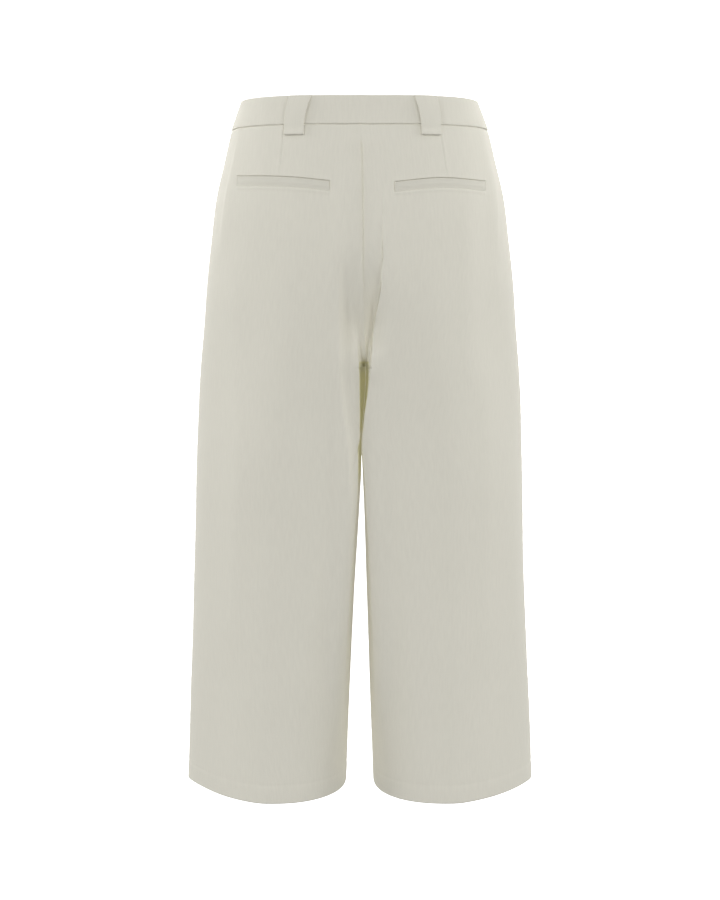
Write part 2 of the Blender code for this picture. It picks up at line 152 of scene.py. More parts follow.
# By height: the step down behind the left leg's crease, the depth beside the lapping edge, and
# how far the right leg slopes in towards the edge from below the crotch.
Hollow = namedtuple("Hollow", "z step lap slope")
HOLLOWS = (
    Hollow(-0.095, 0.0000, 0.0000, 0.0), Hollow(-0.150, 0.0018, 0.0000, 0.0),
    Hollow(-0.172, 0.0032, 0.0008, 0.0), Hollow(-0.196, 0.0044, 0.0030, 0.0),
    Hollow(-0.211, 0.0050, 0.0046, 0.0), Hollow(-0.231, 0.0056, 0.0058, 0.0),
    Hollow(-0.252, 0.0060, 0.0064, 0.0), Hollow(-0.267, 0.0062, 0.0062, 0.0),
    Hollow(-0.281, 0.0062, 0.0050, 0.0008), Hollow(-0.300, 0.0062, 0.0024, 0.0022),
    Hollow(-0.330, 0.0062, 0.0008, 0.0042), Hollow(-0.355, 0.0062, 0.0000, 0.0064),
    Hollow(-0.385, 0.0060, 0.0000, 0.0058), Hollow(-0.430, 0.0056, 0.0000, 0.0036),
    Hollow(-0.520, 0.0036, 0.0000, 0.0014), Hollow(-0.600, 0.0000, 0.0000, 0.0000),
)
STEP_REACH = 0.0125
SLOPE_REACH = 0.026

# Soft creases: leg and side of the garment, widths towards the centre and away from it, rise off
# the cloth (a trough's is negative), length of the fade at each end, and the (distance, height)
# points that the crest runs through.
Fold = namedtuple("Fold", "side facing inward outward rise fade path")
FOLDS = (
    Fold(LEFT, "back", 0.0045, 0.011, 0.0014, 0.05, CREASE_LEFT),
    Fold(LEFT, "back", 0.0016, 0.0009, -0.0012, 0.012,
         ((0.0010, -0.362), (0.0062, -0.379), (0.0115, -0.398))),
    Fold(LEFT, "back", 0.010, 0.009, 0.0016, 0.04,
         ((0.1321, -0.022), (0.1364, -0.101), (0.1446, -0.165))),
    Fold(LEFT, "back", 0.0100, 0.0022, 0.0011, 0.03,
         ((0.1262, -0.042), (0.1301, -0.064), (0.1344, -0.085), (0.1387, -0.106), (0.1440, -0.145))),
    Fold(LEFT, "back", 0.014, 0.012, 0.0028, 0.07,
         ((0.1365, -0.190), (0.1306, -0.294), (0.1311, -0.426), (0.1371, -0.580))),
    Fold(LEFT, "back", 0.022, 0.026, -0.0014, 0.10,
         ((0.098, -0.230), (0.094, -0.360), (0.098, -0.500))),
    Fold(LEFT, "back", 0.020, 0.024, 0.0012, 0.10,
         ((0.060, -0.330), (0.056, -0.470), (0.061, -0.650))),
    Fold(RIGHT, "back", 0.008, 0.018, 0.0016, 0.05,
         ((0.0215, -0.110), (0.0225, -0.150), (0.0235, -0.190), (0.0228, -0.215))),
    Fold(RIGHT, "back", 0.0035, 0.012, 0.0010, 0.03, LAP_EDGE),
    Fold(RIGHT, "back", 0.010, 0.009, 0.0016, 0.04,
         ((0.1375, -0.045), (0.1446, -0.137), (0.1421, -0.200))),
    Fold(RIGHT, "back", 0.0100, 0.0022, 0.0012, 0.03,
         ((0.1300, -0.030), (0.1370, -0.063), (0.1408, -0.084), (0.1424, -0.106), (0.1430, -0.150))),
    Fold(RIGHT, "back", 0.013, 0.016, 0.0018, 0.06,
         ((0.1103, -0.105), (0.1125, -0.190), (0.1141, -0.290))),
    Fold(RIGHT, "back", 0.013, 0.014, 0.0027, 0.07,
         ((0.1329, -0.280), (0.1367, -0.451), (0.1318, -0.580))),
    Fold(RIGHT, "back", 0.022, 0.024, -0.0013, 0.10,
         ((0.090, -0.300), (0.094, -0.420), (0.090, -0.560))),
    Fold(RIGHT, "back", 0.019, 0.022, 0.0011, 0.10,
         ((0.052, -0.380), (0.056, -0.520), (0.053, -0.690))),
    Fold(LEFT, "front", 0.009, 0.014, 0.0020, 0.05,
         ((0.030, -0.150), (0.024, -0.235), (0.014, -0.300))),
    Fold(LEFT, "front", 0.013, 0.012, 0.0022, 0.08,
         ((0.092, -0.120), (0.096, -0.330), (0.091, -0.600))),
    Fold(LEFT, "front", 0.018, 0.022, -0.0012, 0.09,
         ((0.060, -0.260), (0.057, -0.420), (0.062, -0.610))),
    Fold(LEFT, "front", 0.012, 0.014, 0.0021, 0.06,
         ((0.140, -0.200), (0.136, -0.350), (0.141, -0.520))),
    Fold(RIGHT, "front", 0.009, 0.013, 0.0018, 0.05,
         ((0.026, -0.175), (0.021, -0.245), (0.012, -0.310))),
    Fold(RIGHT, "front", 0.012, 0.013, 0.0022, 0.08,
         ((0.094, -0.130), (0.089, -0.310), (0.093, -0.640))),
    Fold(RIGHT, "front", 0.019, 0.020, -0.0013, 0.09,
         ((0.055, -0.300), (0.060, -0.450), (0.054, -0.580))),
    Fold(RIGHT, "front", 0.012, 0.013, 0.0019, 0.06,
         ((0.138, -0.230), (0.142, -0.390), (0.137, -0.560))),
)
SEAM_FADE = 0.03

# The cloth's slow unevenness: waves through space, as radians a metre along x, y and z, with
# their start and their height.
Wave = namedtuple("Wave", "x y z start height")
WAVES = (
    Wave(47, 21, 7, 0.4, 0.00030),
    Wave(-29, 38, 10, 1.9, 0.00035),
    Wave(74, -18, -13, 2.7, 0.00020),
    Wave(15, 63, 19, 5.1, 0.00022),
    Wave(-96, 44, 25, 3.6, 0.00010),
    Wave(23, -31, 52, 0.9, 0.00012),
)
WAVE_FADE = 0.12

# Darts: the leg, front or back, places at the top and the tip.
Dart = namedtuple("Dart", "side facing x_top z_top x_tip z_tip")
DARTS = (
    Dart(LEFT, "back", 0.0775, -0.030, 0.0830, -0.086),
    Dart(RIGHT, "back", 0.0815, -0.030, 0.0900, -0.087),
    Dart(LEFT, "front", 0.0720, -0.030, 0.0770, -0.104),
    Dart(RIGHT, "front", 0.0730, -0.030, 0.0775, -0.102),
)

# Belt loops, by the places of their middles, and the strap's height off the band along them.
Loop = namedtuple("Loop", "name side facing x_top x_bottom")
LOOPS = (
    Loop("loop_back_left", LEFT, "back", 0.0608, 0.0672),
    Loop("loop_back_right", RIGHT, "back", 0.0672, 0.0732),
    Loop("loop_front_left", LEFT, "front", 0.0630, 0.0690),
    Loop("loop_front_right", RIGHT, "front", 0.0630, 0.0690),
)
LOOP_WIDTH_TOP = 0.0235
LOOP_WIDTH_BOTTOM = 0.0200
LOOP_CLOTH = 0.0014
LOOP_BEND = 1.9
LOOP_TOP_ROUND = 0.0006
LOOP_END_ROUND = 0.0012
Strap = namedtuple("Strap", "z off thick")
STRAP = (
    Strap(-0.0003, SEAM_GAP, LOOP_CLOTH),
    Strap(-0.0045, 0.0012, LOOP_CLOTH),
    Strap(-0.0110, 0.0022, LOOP_CLOTH),
    Strap(-0.0230, 0.0023, LOOP_CLOTH),
    Strap(-0.0310, 0.0018, LOOP_CLOTH),
    Strap(-0.0355, 0.0009, 1.2 * LOOP_CLOTH),
    Strap(-0.0385, SEAM_GAP, 2 * LOOP_CLOTH),
    Strap(-0.0418, SEAM_GAP, 2 * LOOP_CLOTH),
)

# The pocket welts: the ends of their top edges and the edges' heights.
Welt = namedtuple("Welt", "name side facing x_inner x_outer z_inner z_middle z_outer")
WELTS = (
    Welt("welt_left", LEFT, "back", 0.0307, 0.1267, -0.0895, -0.0846, -0.0826),
    Welt("welt_right", RIGHT, "back", 0.0357, 0.1302, -0.0906, -0.0859, -0.0876),
)
WELT_HEIGHT = 0.0100
WELT_SUNK = 0.0012
WELT_SLIT = 0.0009
WELT_BEND_REACH = 0.042

# The closure at the centre front: the band's lap, the button, the zip and the fly's stitches.
LAP_PAST_CENTRE = 0.004
LAP_UNDER = 0.030
LAP_STEP = 0.018
BUTTON_X = 0.014
BUTTON_RADIUS = 0.0085
BUTTON_THICKNESS = 0.0030
HOLE_OFF = 0.0014
HOLE_RADIUS = 0.00075
BUTTONHOLE_LENGTH = 0.0230
ZIP_LEFT = -0.012
ZIP_RIGHT = 0.030
ZIP_TOP = -BAND_HEIGHT - 0.002
ZIP_LENGTH = 0.130
ZIP_LIFT = -0.0027
TOOTH_DEEP = 0.0011
TOOTH_PITCH = 0.0011
TOOTH_OFF = 0.0007
FLY_WIDTH = 0.031
FLY_STRAIGHT = -0.128
FLY_CURVE = 0.027
FLY_DROP = 0.034
FLY_STITCH = 0.0026

# The panels' grids: how their columns gather beside the inner creases, the hips' ridges, the darts,
# the welts' ends and the seams, and the fine steps of their rows at the top, the welts, the crotch
# and the hem's turn.
PANEL_COLUMNS = {"back": 96, "front": 84}
SEAT_COLUMNS = (0.03, 0.11, 36)
HIP_COLUMNS = (0.127, 0.147, 0.0011)
HIP_HEIGHT = -0.10
DART_COLUMNS = (-0.0050, 0.0051, 0.0006)
WELT_COLUMNS = (-0.0030, 0.0031, 0.0006)
CREASE_COLUMNS = {LEFT: 9, RIGHT: 16}
CREASE_TOP = -0.170
CREASE_FADE = 0.030
CREASE_PLACE = 0.135
CREASE_ZONE = 0.012
CREASE_REACH = 0.0045
CREASE_LIMITS = ((0.020, 0.035), (0.185, 0.215))
EDGE_STEPS = (0.0006, 0.0013, 0.0022, 0.0034, 0.0050, 0.0072)
COLUMN_GAP = 0.0004
TOP_STEPS = (0.0009, 0.0014, 0.0020, 0.0028, 0.0040, 0.0056)
WELT_STEPS = (
    0.0034, 0.0024, 0.0017, 0.0013, 0.0010, 0.0007, 0.0004, 0.0, -0.0005, -0.0012, -0.0024,
    -0.0040, -0.0060, -0.0080, -0.0090, -0.0096, -0.0100, -0.0103, -0.0106, -0.0110, -0.0116,
    -0.0124, -0.0134, -0.0145,
)
CROTCH_STEPS = (0.0006, 0.0014, 0.0026, 0.0044)
LEGS_FREE = -0.385
TURN_STEPS = (0.0016, 0.0006, -0.0003, -0.0012, -0.0024)
ROW_GAP = 0.00012
ROUND_STEPS = (75, 45, 15)  # degrees round an edge

# Colours of the cloth, and painted shade: olive between the legs, deeper at the fork, on the welts.
CREPE = (0.640, 0.622, 0.545)
GAP_PAINTED_SHADE = (0.515, 0.492, 0.300)
GAP_PAINTED_DEEP_SHADE = (0.485, 0.470, 0.340)
# Painted shade: how much darker the welts' cloth is made.
WELT_PAINTED_SHADE = 0.935
TWILL_PITCH = 0.0009
TWILL_SLANT = math.radians(52)
BANDS = math.tau / 20  # a wave texture's scale for bands one metre apart

# The studio: its floor and wall, the room's own light, and pairs of lights to both sides. A fill
# comes from a direction, in degrees from the camera's, and the lamps stand beside the hips.
FLOOR = -1.02
FLOOR_REACH = 6.0
WALL_ROUND = 14.0
ROOM_COLOUR = (0.985, 0.99, 1.0, 1)
ROOM_STRENGTH = 0.25
Fill = namedtuple("Fill", "name across up strength shadow")
FILLS = (
    Fill("side", 80, 8, 0.150, True),
    Fill("turned", 60, 8, 0.305, False),
    Fill("front", 35, 15, 0.205, True),
    Fill("far", 155, 15, 0.370, True),
)
Lamp = namedtuple("Lamp", "name place target size power spread")
LAMPS = (
    Lamp("hips", (1.3, 0.0, 0.35), (0.0, 0.0, -0.08), (0.6, 0.6), 4.0, 180),
    Lamp("rim", (0.50, 0.22, 0.20), (0.14, -0.02, -0.02), (0.25, 0.15), 0.033, 40),
)


# ---- the form


def on_panel(table, side, facing):
    """The rows of a table that lie on a leg's back or front."""
    return [row for row in table if (row.side, row.facing) == (side, facing)]


def ease(value):
    """A soft step from 0 to 1."""
    value = np.clip(value, 0.0, 1.0)
    return value * value * (3 - 2 * value)


def swell(off, width):
    """A soft hump, 1 in its middle."""
    return np.exp(-((off / width) ** 2))


def smooth_curve(x, knots, values):
    """Values on a smooth curve through the knots, held beyond its ends."""
    knots = np.asarray(knots, float)
    values = np.asarray(values, float)
    slopes = np.gradient(values, knots)
    x = np.clip(x, knots[0], knots[-1])
    i = np.clip(np.searchsorted(knots, x, side="right") - 1, 0, len(knots) - 2)
    span = knots[i + 1] - knots[i]
    t = (x - knots[i]) / span
    start = values[i] * (1 + 2 * t) * (1 - t) ** 2 + slopes[i] * span * t * (1 - t) ** 2
    end = values[i + 1] * t * t * (3 - 2 * t) - slopes[i + 1] * span * t * t * (1 - t)
    return start + end


def at_height(z, column, table=SECTIONS):
    """A column of a table at each height, on a smooth curve through its rows."""
    values = [getattr(row, column) for row in table]
    return smooth_curve(-np.asarray(z, float), [-row.z for row in table], values)


def path_at(path, z):
    """The distance from the centre of a path of (x, z) points at each height."""
    return smooth_curve(-z, [-point[1] for point in path], [point[0] for point in path])


def oval(angle, half_width, half_depth, squareness):
    """The points of rounded ovals that lie at the angles, seen from their centres."""
    across = np.cos(angle)
    along = np.sin(angle)
    total = np.abs(across / half_width) ** squareness + np.abs(along / half_depth) ** squareness
    reach = total ** (-1 / squareness)
    return reach * across, reach * along


def leg_share(u, z):
    """How far a ring has turned from half of the body, 0, into a leg, 1."""
    depth = np.clip((FORK_TOP - z) / (FORK_TOP - CROTCH), 0, 1)
    square = np.where(u < 0.5, FORK_SQUARE, 2.0)
    ends = 1 - (1 - depth ** square) ** (1 / square)
    rest = ease((FORK_TOP - z) / (FORK_TOP - LEGS_APART))
    return rest + (ends - rest) * ease(1 - np.minimum(u, 1 - u) / END_ZONE)


def body_place(u):
    """The place on the body's half ring, from 0 to 1, of a place on the leg's ring."""
    near = 0.5 * (2 * np.minimum(u, 1 - u)) ** INNER_SHARE
    return np.where(u > 0.5, 1 - near, near)


def lean(u, z):
    """How far a point leans to the wearer's right, most beside the centre seams and inseams."""
    near = (1 - 2 * np.minimum(u, 1 - u)) ** 2
    amount = (at_height(z, "lean") + path_at(SWAY, z)) * near
    sway = ease((CROTCH + SWAY_FADE - z) / SWAY_FADE) * ease((z - SWAY_END) / SWAY_FADE)
    front = ease((FORK_TOP - z) / (FORK_TOP - CROTCH)) * amount
    front = front + FRONT_SWAY * sway * near * ease((1 - u) / FRONT_SWAY_ZONE)
    return np.where(u > 0.5, front, amount)


def corner_fill(x, off, z):
    """How far the back is squared out at its inner corner. off is from the inseam's plane."""
    filled = at_height(z, "crisp", CORNERS)
    filled = filled * ease((off / at_height(z, "edge", CORNERS) - 0.4) / 0.7)
    return filled * ease((CORNER_REACH - x) / CORNER_FADE)


def form(side, u, z):
    """Points of the garment's smooth form, as an array of x, y and z."""
    u, z = np.broadcast_arrays(np.asarray(u, float), np.asarray(z, float))
    behind = u < 0.5
    half_width = at_height(z, "half_width")
    half_depth = np.where(behind, at_height(z, "back"), at_height(z, "front"))
    gap = np.maximum(at_height(z, "half_gap"), SEAM_GAP / 2)
    half_gap = gap + np.where(behind, at_height(z, "valley") * ease(u / VALLEY_ZONE), 0.0)
    square_out = np.where(behind, at_height(z, "square_back"), at_height(z, "square_front"))
    inner = (u <= 0.25) | (u >= 0.75)
    square_leg = np.where(inner, at_height(z, "square_in"), square_out)
    body_x, body_y = oval(math.pi * (body_place(u) - 0.5), half_width, half_depth, square_out)
    leg_x, leg_y = oval(math.tau * (u - 0.5), (half_width - half_gap) / 2, half_depth, square_leg)
    leg_x = leg_x + (half_width + half_gap) / 2
    share = leg_share(u, z)
    x = body_x + share * (leg_x - body_x)
    y = body_y + share * (leg_y - body_y)
    flat = np.clip(1 - np.clip(x / half_width, 0, 1) ** square_out, 0, 1) ** (1 / square_out)
    filled = behind * corner_fill(x, x - share * gap, z)
    y = y + filled * np.minimum(-half_depth * flat - y, 0)
    x = side * x + lean(u, z)
    y = y * (1 - behind * hollow(x, z) / half_depth)
    return np.stack((x, y, z), axis=-1)


def hollow(x, z):
    """How deep the hollow behind the fork is, between the left crease and the lapping edge."""
    left = -path_at(CREASE_LEFT, z)
    right = path_at(LAP_EDGE, z)
    across = np.clip((x - left) / (right - left), 0, 1)
    near = np.clip((x - left) / STEP_REACH, 0, 1)
    depth = at_height(z, "step", HOLLOWS) * (1 - (1 - near) ** 1.3)
    depth = depth + at_height(z, "lap", HOLLOWS) * across ** 2
    depth = depth * ease((right + LAP_STEEP - x) / LAP_STEEP)
    beyond = np.clip((x - right) / SLOPE_REACH, 0, 1)
    return depth + at_height(z, "slope", HOLLOWS) * (1 - beyond) ** 1.6 * (x > right - 0.0004)


def unit(vectors):
    """The vectors, each with a length of 1."""
    return vectors / np.maximum(np.linalg.norm(vectors, axis=-1, keepdims=True), 1e-12)


def form_normal(side, u, z):
    """The directions out of the form."""
    u, z = np.broadcast_arrays(np.asarray(u, float), np.asarray(z, float))
    step_u, step_z = 0.0015, 0.0004
    round_it = form(side, np.clip(u + step_u, 0, 1), z) - form(side, np.clip(u - step_u, 0, 1), z)
    up_it = form(side, u, z + step_z) - form(side, u, z - step_z)
    return side * unit(np.cross(round_it, up_it))


def broad_relief(side, u, points, normals):
    """How far the creases and the slow unevenness lift the cloth at points of the form."""
    x, y, z = np.moveaxis(points, -1, 0)
    from_centre = np.minimum(u, 1 - u)
    facing = ease((np.abs(normals[..., 1]) - 0.25) / 0.35)
    rise = sum(w.height * np.sin(w.x * x + w.y * y + w.z * z + w.start) for w in WAVES)
    rise = rise * ease(from_centre / WAVE_FADE)
    beside = np.clip(np.minimum(from_centre, np.abs(u - 0.5)) / SEAM_FADE, 0, 1)
    for fold in FOLDS:
        if fold.side != side:
            continue
        off = side * x - path_at(fold.path, z)
        width = np.where(off < 0, fold.inward, fold.outward)
        ends = np.minimum(fold.path[0][1] - z, z - fold.path[-1][1]) / fold.fade
        here = (u < 0.5) if fold.facing == "back" else (u > 0.5)
        lift = fold.rise * ease(ends + 0.5) * swell(off, width)
        rise = rise + here * beside * facing * lift
    return rise


def skin(side, u, z, lift=0.0):
    """Points of the worn cloth's outside, moved out by lift, and the directions out of it."""
    points = form(side, u, z)
    normals = form_normal(side, u, z)
    lift = broad_relief(side, u, points, normals) + lift
    return points + normals * np.asarray(lift)[..., None], normals


def find_u(side, facing, off, z):
    """The places u on the back or front at a distance off from the centre. Found by halving."""
    off, z = np.broadcast_arrays(np.asarray(off, float), np.asarray(z, float))
    near = np.zeros(off.shape)
    far = np.full(off.shape, 0.5)
    for _ in range(32):
        middle = (near + far) / 2
        place = middle if facing == "back" else 1 - middle
        reached = side * form(side, place, z)[..., 0] > off
        far = np.where(reached, middle, far)
        near = np.where(reached, near, middle)
    middle = (near + far) / 2
    return middle if facing == "back" else 1 - middle


def round_place(angle):
    """The side and u of places on the body's whole ring, by their angle from +X."""
    side = np.where(np.cos(angle) >= 0, 1, -1)
    body = np.clip(0.5 + np.arcsin(np.clip(np.sin(angle), -1, 1)) / math.pi, 0, 1)
    near = 0.5 * (2 * np.minimum(body, 1 - body)) ** (1 / INNER_SHARE)
    return side, np.where(body > 0.5, 1 - near, near)


def round_skin(angle, z, lift):
    """Points of the cloth's outside on the body's whole ring, moved out by lift."""
    angle, z, lift = np.broadcast_arrays(angle, z, lift)
    side, u = round_place(angle)
    right, right_out = skin(1, u, z, lift)
    left, left_out = skin(-1, u, z, lift)
    is_right = (side > 0)[..., None]
    return np.where(is_right, right, left), np.where(is_right, right_out, left_out)


def angle_at(x, z, facing):
    """The angle of the body's ring at which the band is x from the centre."""
    sign = 1 if facing == "front" else -1
    angles = np.linspace(math.pi / 2, 0, 400)
    side = 1 if x >= 0 else -1
    u = round_place(sign * angles)[1]
    reach = side * form(side, u, np.full(400, z))[..., 0]
    angle = sign * float(np.interp(abs(x), reach, angles))
    return angle if x >= 0 else math.pi - angle


def hem_dip(u, z):
    """How much lower the cloth hangs at u than at the seams."""
    share = np.clip((CROTCH - z) / (CROTCH - HEM), 0, 1)
    place = (2 * np.minimum(u, 1 - u)) ** DIP_SKEW
    return HEM_DIP * share * share * np.sin(math.pi * place) ** 2


def run_along(points):
    """How far along its line each point lies, for lines of points on the last axis but one."""
    run = np.cumsum(np.linalg.norm(np.diff(points, axis=-2), axis=-1), axis=-1)
    return np.concatenate((np.zeros_like(run[..., :1]), run), axis=-1)


# ---- mesh making


def new_object(name, data):
    """An object in the scene."""
    thing = bpy.data.objects.new(name, data)
    bpy.context.scene.collection.objects.link(thing)
    return thing


def add_piece(name, vertices, faces, material, node=None, uv=None, shade=None, sharp=40):
    """A smooth-shaded piece in place of a node. uv and shade are given for each vertex."""
    mesh = bpy.data.meshes.new(name)
    mesh.from_pydata(np.asarray(vertices, float).reshape(-1, 3).tolist(), [], faces)
    bm = bmesh.new()
    bm.from_mesh(mesh)
    bmesh.ops.recalc_face_normals(bm, faces=bm.faces)
    bm.to_mesh(mesh)
    bm.free()
    mesh.shade_smooth()
    mesh.set_sharp_from_angle(angle=math.radians(sharp))
    if uv is not None:
        corners = np.zeros(len(mesh.loops), np.int32)
        mesh.loops.foreach_get("vertex_index", corners)
        layer = mesh.uv_layers.new(name="cloth")
        layer.data.foreach_set("uv", np.asarray(uv, np.float32).reshape(-1, 2)[corners].ravel())
    if shade is not None:
        layer = mesh.attributes.new("shade", "FLOAT", "POINT")
        layer.data.foreach_set("value", np.asarray(shade, np.float32).ravel())
    mesh.materials.append(material)
    thing = new_object(name, mesh)
    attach(thing, "root")
    if node:
        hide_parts(node)
    return thing


def sleeve(name, around, material, **options):
    """A closed piece from a grid of points: each column is a ring, and its ends are flat."""
    rows, columns = around.shape[:2]
    index = np.arange(rows * columns).reshape(rows, columns)
    after = np.roll(index, -1, axis=0)
    quads = np.stack((index[:, :-1], index[:, 1:], after[:, 1:], after[:, :-1]), axis=-1)
    faces = quads.reshape(-1, 4).tolist()
    for ring in (index[:, 0].tolist(), index[:, -1].tolist()):
        for i in range(rows // 2 - 1):
            faces.append([ring[i], ring[i + 1], ring[rows - 2 - i], ring[rows - 1 - i]])
    return add_piece(name, around, faces, material, **options)


def ring_quads(start, rings, sides):
    """Quads between rings of points that follow each other from the index start."""
    faces = []
    for first in range(start, start + (rings - 1) * sides, sides):
        for k in range(sides):
            after = (k + 1) % sides
            faces.append([first + k, first + sides + k, first + sides + after, first + after])
    return faces


# ---- panels


def welt_top(spec, x):
    """The height of a welt's top edge at distances from the centre."""
    middle = (spec.x_inner + spec.x_outer) / 2
    knots = (spec.x_inner, middle, spec.x_outer)
    return smooth_curve(x, knots, (spec.z_inner, spec.z_middle, spec.z_outer))


def thinned(values, gap):
    """The values in rising order, without those closer than gap to the one before."""
    kept = []
    for value in sorted(values):
        if not kept or value - kept[-1] >= gap:
            kept.append(float(value))
    return kept


def panel_columns(side, facing):
    """The places u of a panel's columns, dense beside its seams, dart, creases and welt ends."""
    places = list(np.linspace(0, 0.5, PANEL_COLUMNS[facing])[1:-1])
    places += [step * 1.6 for step in EDGE_STEPS]
    places += [0.5 - step for step in EDGE_STEPS]
    if facing == "back":
        spread = np.linspace(-1, 1, 2 * CREASE_COLUMNS[side] + 1)
        places += list(CREASE_PLACE + CREASE_ZONE * spread)
        places += list(np.linspace(*SEAT_COLUMNS))
        places += list(find_u(side, facing, np.arange(*HIP_COLUMNS), HIP_HEIGHT))
    for dart in on_panel(DARTS, side, facing):
        x = (dart.x_top + dart.x_tip) / 2 + np.arange(*DART_COLUMNS)
        u = find_u(side, facing, x, (dart.z_top + dart.z_tip) / 2)
        places += list(u if facing == "back" else 1 - u)
    for spec in on_panel(WELTS, side, facing):
        for end in (spec.x_inner, spec.x_outer):
            x = end + np.arange(*WELT_COLUMNS)
            places += list(find_u(side, facing, x, spec.z_middle - WELT_HEIGHT / 2))
    inside = [u for u in thinned(places, COLUMN_GAP) if COLUMN_GAP < u < 0.5 - COLUMN_GAP]
    columns = np.array([0.0, *inside, 0.5])
    return columns if facing == "back" else 1 - columns


def gather(side, columns, heights):
    """A back panel's columns at each height, drawn to the leg's inner crease below the seat."""
    first, last = CREASE_PLACE - CREASE_ZONE, CREASE_PLACE + CREASE_ZONE
    place = np.empty((len(heights), len(columns)))
    for i, z in enumerate(heights):
        level = min(z, CREASE_TOP)
        x = path_at(CREASES[side], level) + np.array([-CREASE_REACH, CREASE_REACH])
        low, high = np.clip(find_u(side, "back", x, level), *CREASE_LIMITS)
        share = ease((CREASE_TOP + CREASE_FADE - z) / CREASE_FADE)
        low = first + (low - first) * share
        high = last + (high - last) * share
        place[i] = np.interp(columns, (0, first, last, 0.25, 0.5), (0, low, high, 0.25, 0.5))
    return place


def panel_heights(side, facing):
    """The heights of a panel's rows between its rounded top and hem edges."""
    hem_top = HEM + HEM_TURN
    fork = CROTCH - FORK_TOP
    rows = [PANEL_TOP - step for step in TOP_STEPS]
    rows += list(np.linspace(PANEL_TOP - 0.008, FORK_TOP, 34))
    for spec in on_panel(WELTS, side, facing):
        rows = [z for z in rows if not -0.0150 < z - spec.z_middle < 0.0040]
        rows += [spec.z_middle + step for step in WELT_STEPS]
    rows += list(FORK_TOP + fork * np.sin(np.linspace(0, math.pi / 2, 44)[1:]))
    shares = (1 - np.linspace(0.1, 0.9, 12) ** FORK_SQUARE) ** (1 / FORK_SQUARE)
    rows += list(FORK_TOP + fork * shares)
    rows += [CROTCH - step for step in CROTCH_STEPS]
    rows += list(np.linspace(CROTCH - 0.007, LEGS_FREE, 30))
    rows += list(np.linspace(LEGS_FREE - 0.005, hem_top + 0.003, 68))
    rows += [hem_top + step for step in TURN_STEPS]
    rows += list(np.linspace(hem_top - 0.0045, HEM + HEM_CLOTH / 2, 7))
    return np.array(thinned([-z for z in rows], ROW_GAP)) * -1


def dart_relief(side, facing, x, z):
    """A panel's darts: a fine sewn line with a soft roll on its outer side."""
    rise = np.zeros(x.shape)
    for dart in on_panel(DARTS, side, facing):
        down = (dart.z_top - z) / (dart.z_top - dart.z_tip)
        off = x - dart.x_top - (dart.x_tip - dart.x_top) * down
        roll = 0.00038 * swell(off - 0.0019, 0.0017)
        rise += ease((1 - down) / 0.16) * (roll - 0.00045 * swell(off, 0.0007))
    return rise


def welt_relief(side, facing, x, z):
    """The sunk bed of the pocket's welt, its slit above and the soft rolls beside it."""
    rise = np.zeros(x.shape)
    for spec in on_panel(WELTS, side, facing):
        down = welt_top(spec, x) - z
        inside = ease(np.minimum(x - spec.x_inner, spec.x_outer - x) / 0.0016 + 0.5)
        bed = ease((down + WELT_SLIT) / 0.0004) * ease((WELT_HEIGHT + 0.0007 - down) / 0.0018)
        lip = 0.00035 * swell(down + WELT_SLIT + 0.0012, 0.0011)
        roll = 0.00055 * swell(down - WELT_HEIGHT - 0.0021, 0.0012)
        rise += inside * (lip + roll - WELT_SUNK * bed)
        for end in (spec.x_inner, spec.x_outer):
            rise -= 0.00035 * swell(x - end, 0.0030) * swell(down - WELT_HEIGHT / 2, 0.0055)
    return rise


def hem_relief(z, along):
    """The hem's turned-up cloth and the dimples of its blind stitches."""
    below = HEM + HEM_TURN - 0.0010 - z
    dimple = 0.5 + 0.5 * np.sin(math.tau * along / HEM_STITCH + 0.7 * np.sin(31 * along))
    return HEM_STEP * ease(below / 0.003) - HEM_DENT * swell(below, 0.0013) * (0.35 + 0.65 * dimple)


def seam_relief(distance, z, depth):
    """A seam's groove and the small puckers beside it."""
    pucker = np.sin(math.tau * z / SEAM_PUCKER + 2.1 * np.sin(37 * z) + 1.3 * np.sin(90 * z))
    puckers = 0.00010 * pucker * swell(distance - 0.004, 0.004)
    return puckers - depth * swell(distance, SEAM_WIDTH)


def gap_shade(side, x, off, z):
    """How much painted shade the cloth gets where the legs meet: 0 none, 0.5 olive, 1 the deepest.

    off is how far the cloth is from the seam's plane.
    """
    wall = np.minimum(at_height(z, "edge", CORNERS), 0.0048) + 0.0003
    wall = wall * (1 - 0.7 * ease((-0.340 - z) / 0.015)) + at_height(z, "half_gap")
    if side < 0:
        wall = wall + 0.0018 * ease((-0.352 - z) / 0.010)
    beside = ease((wall - off) / 0.0010 + 0.5)
    below = ease((CROTCH + 0.008 - z) / 0.006) * ease((z + 0.415) / 0.030)
    deep = ease((z - CROTCH + 0.010) / 0.012)
    # A faint painted shade beside the edge where the right leg laps over.
    lap = path_at(LAP_EDGE, z) - x
    beside_lap = 0.04 * ease(1 - lap / 0.006) * (lap > -0.0005)
    over = beside_lap * ease((-0.235 - z) / 0.030) * ease((z - CROTCH + 0.004) / 0.004)
    return np.maximum(below * beside * (0.5 + 0.5 * deep), over)


def round_ends(high, high_round, between, low, low_round, angles):
    """Places down a strip: a rounded end, the places between and another rounded end."""
    above = high - high_round + high_round * np.sin(angles)
    below = low + low_round - low_round * np.sin(angles[::-1])
    return np.concatenate((above, between, below))


def panel_profile(body):
    """A panel's heights with its rounded top and hem, and the lifts of its two skins there."""
    angles = np.radians(ROUND_STEPS)
    top, hem = CLOTH / 2, HEM_CLOTH / 2
    heights = round_ends(PANEL_TOP, top, body, HEM, hem, angles)
    turned = ease((HEM + HEM_TURN - body) / 0.0009)
    round_top, round_hem = top * np.cos(angles), hem * np.cos(angles[::-1])
    outer = np.concatenate((round_top - top, np.zeros(len(body)), round_hem - hem))
    inner = np.concatenate((
        -top - round_top, -CLOTH - (HEM_CLOTH - CLOTH) * turned, -hem - round_hem,
    ))
    return heights, outer, inner


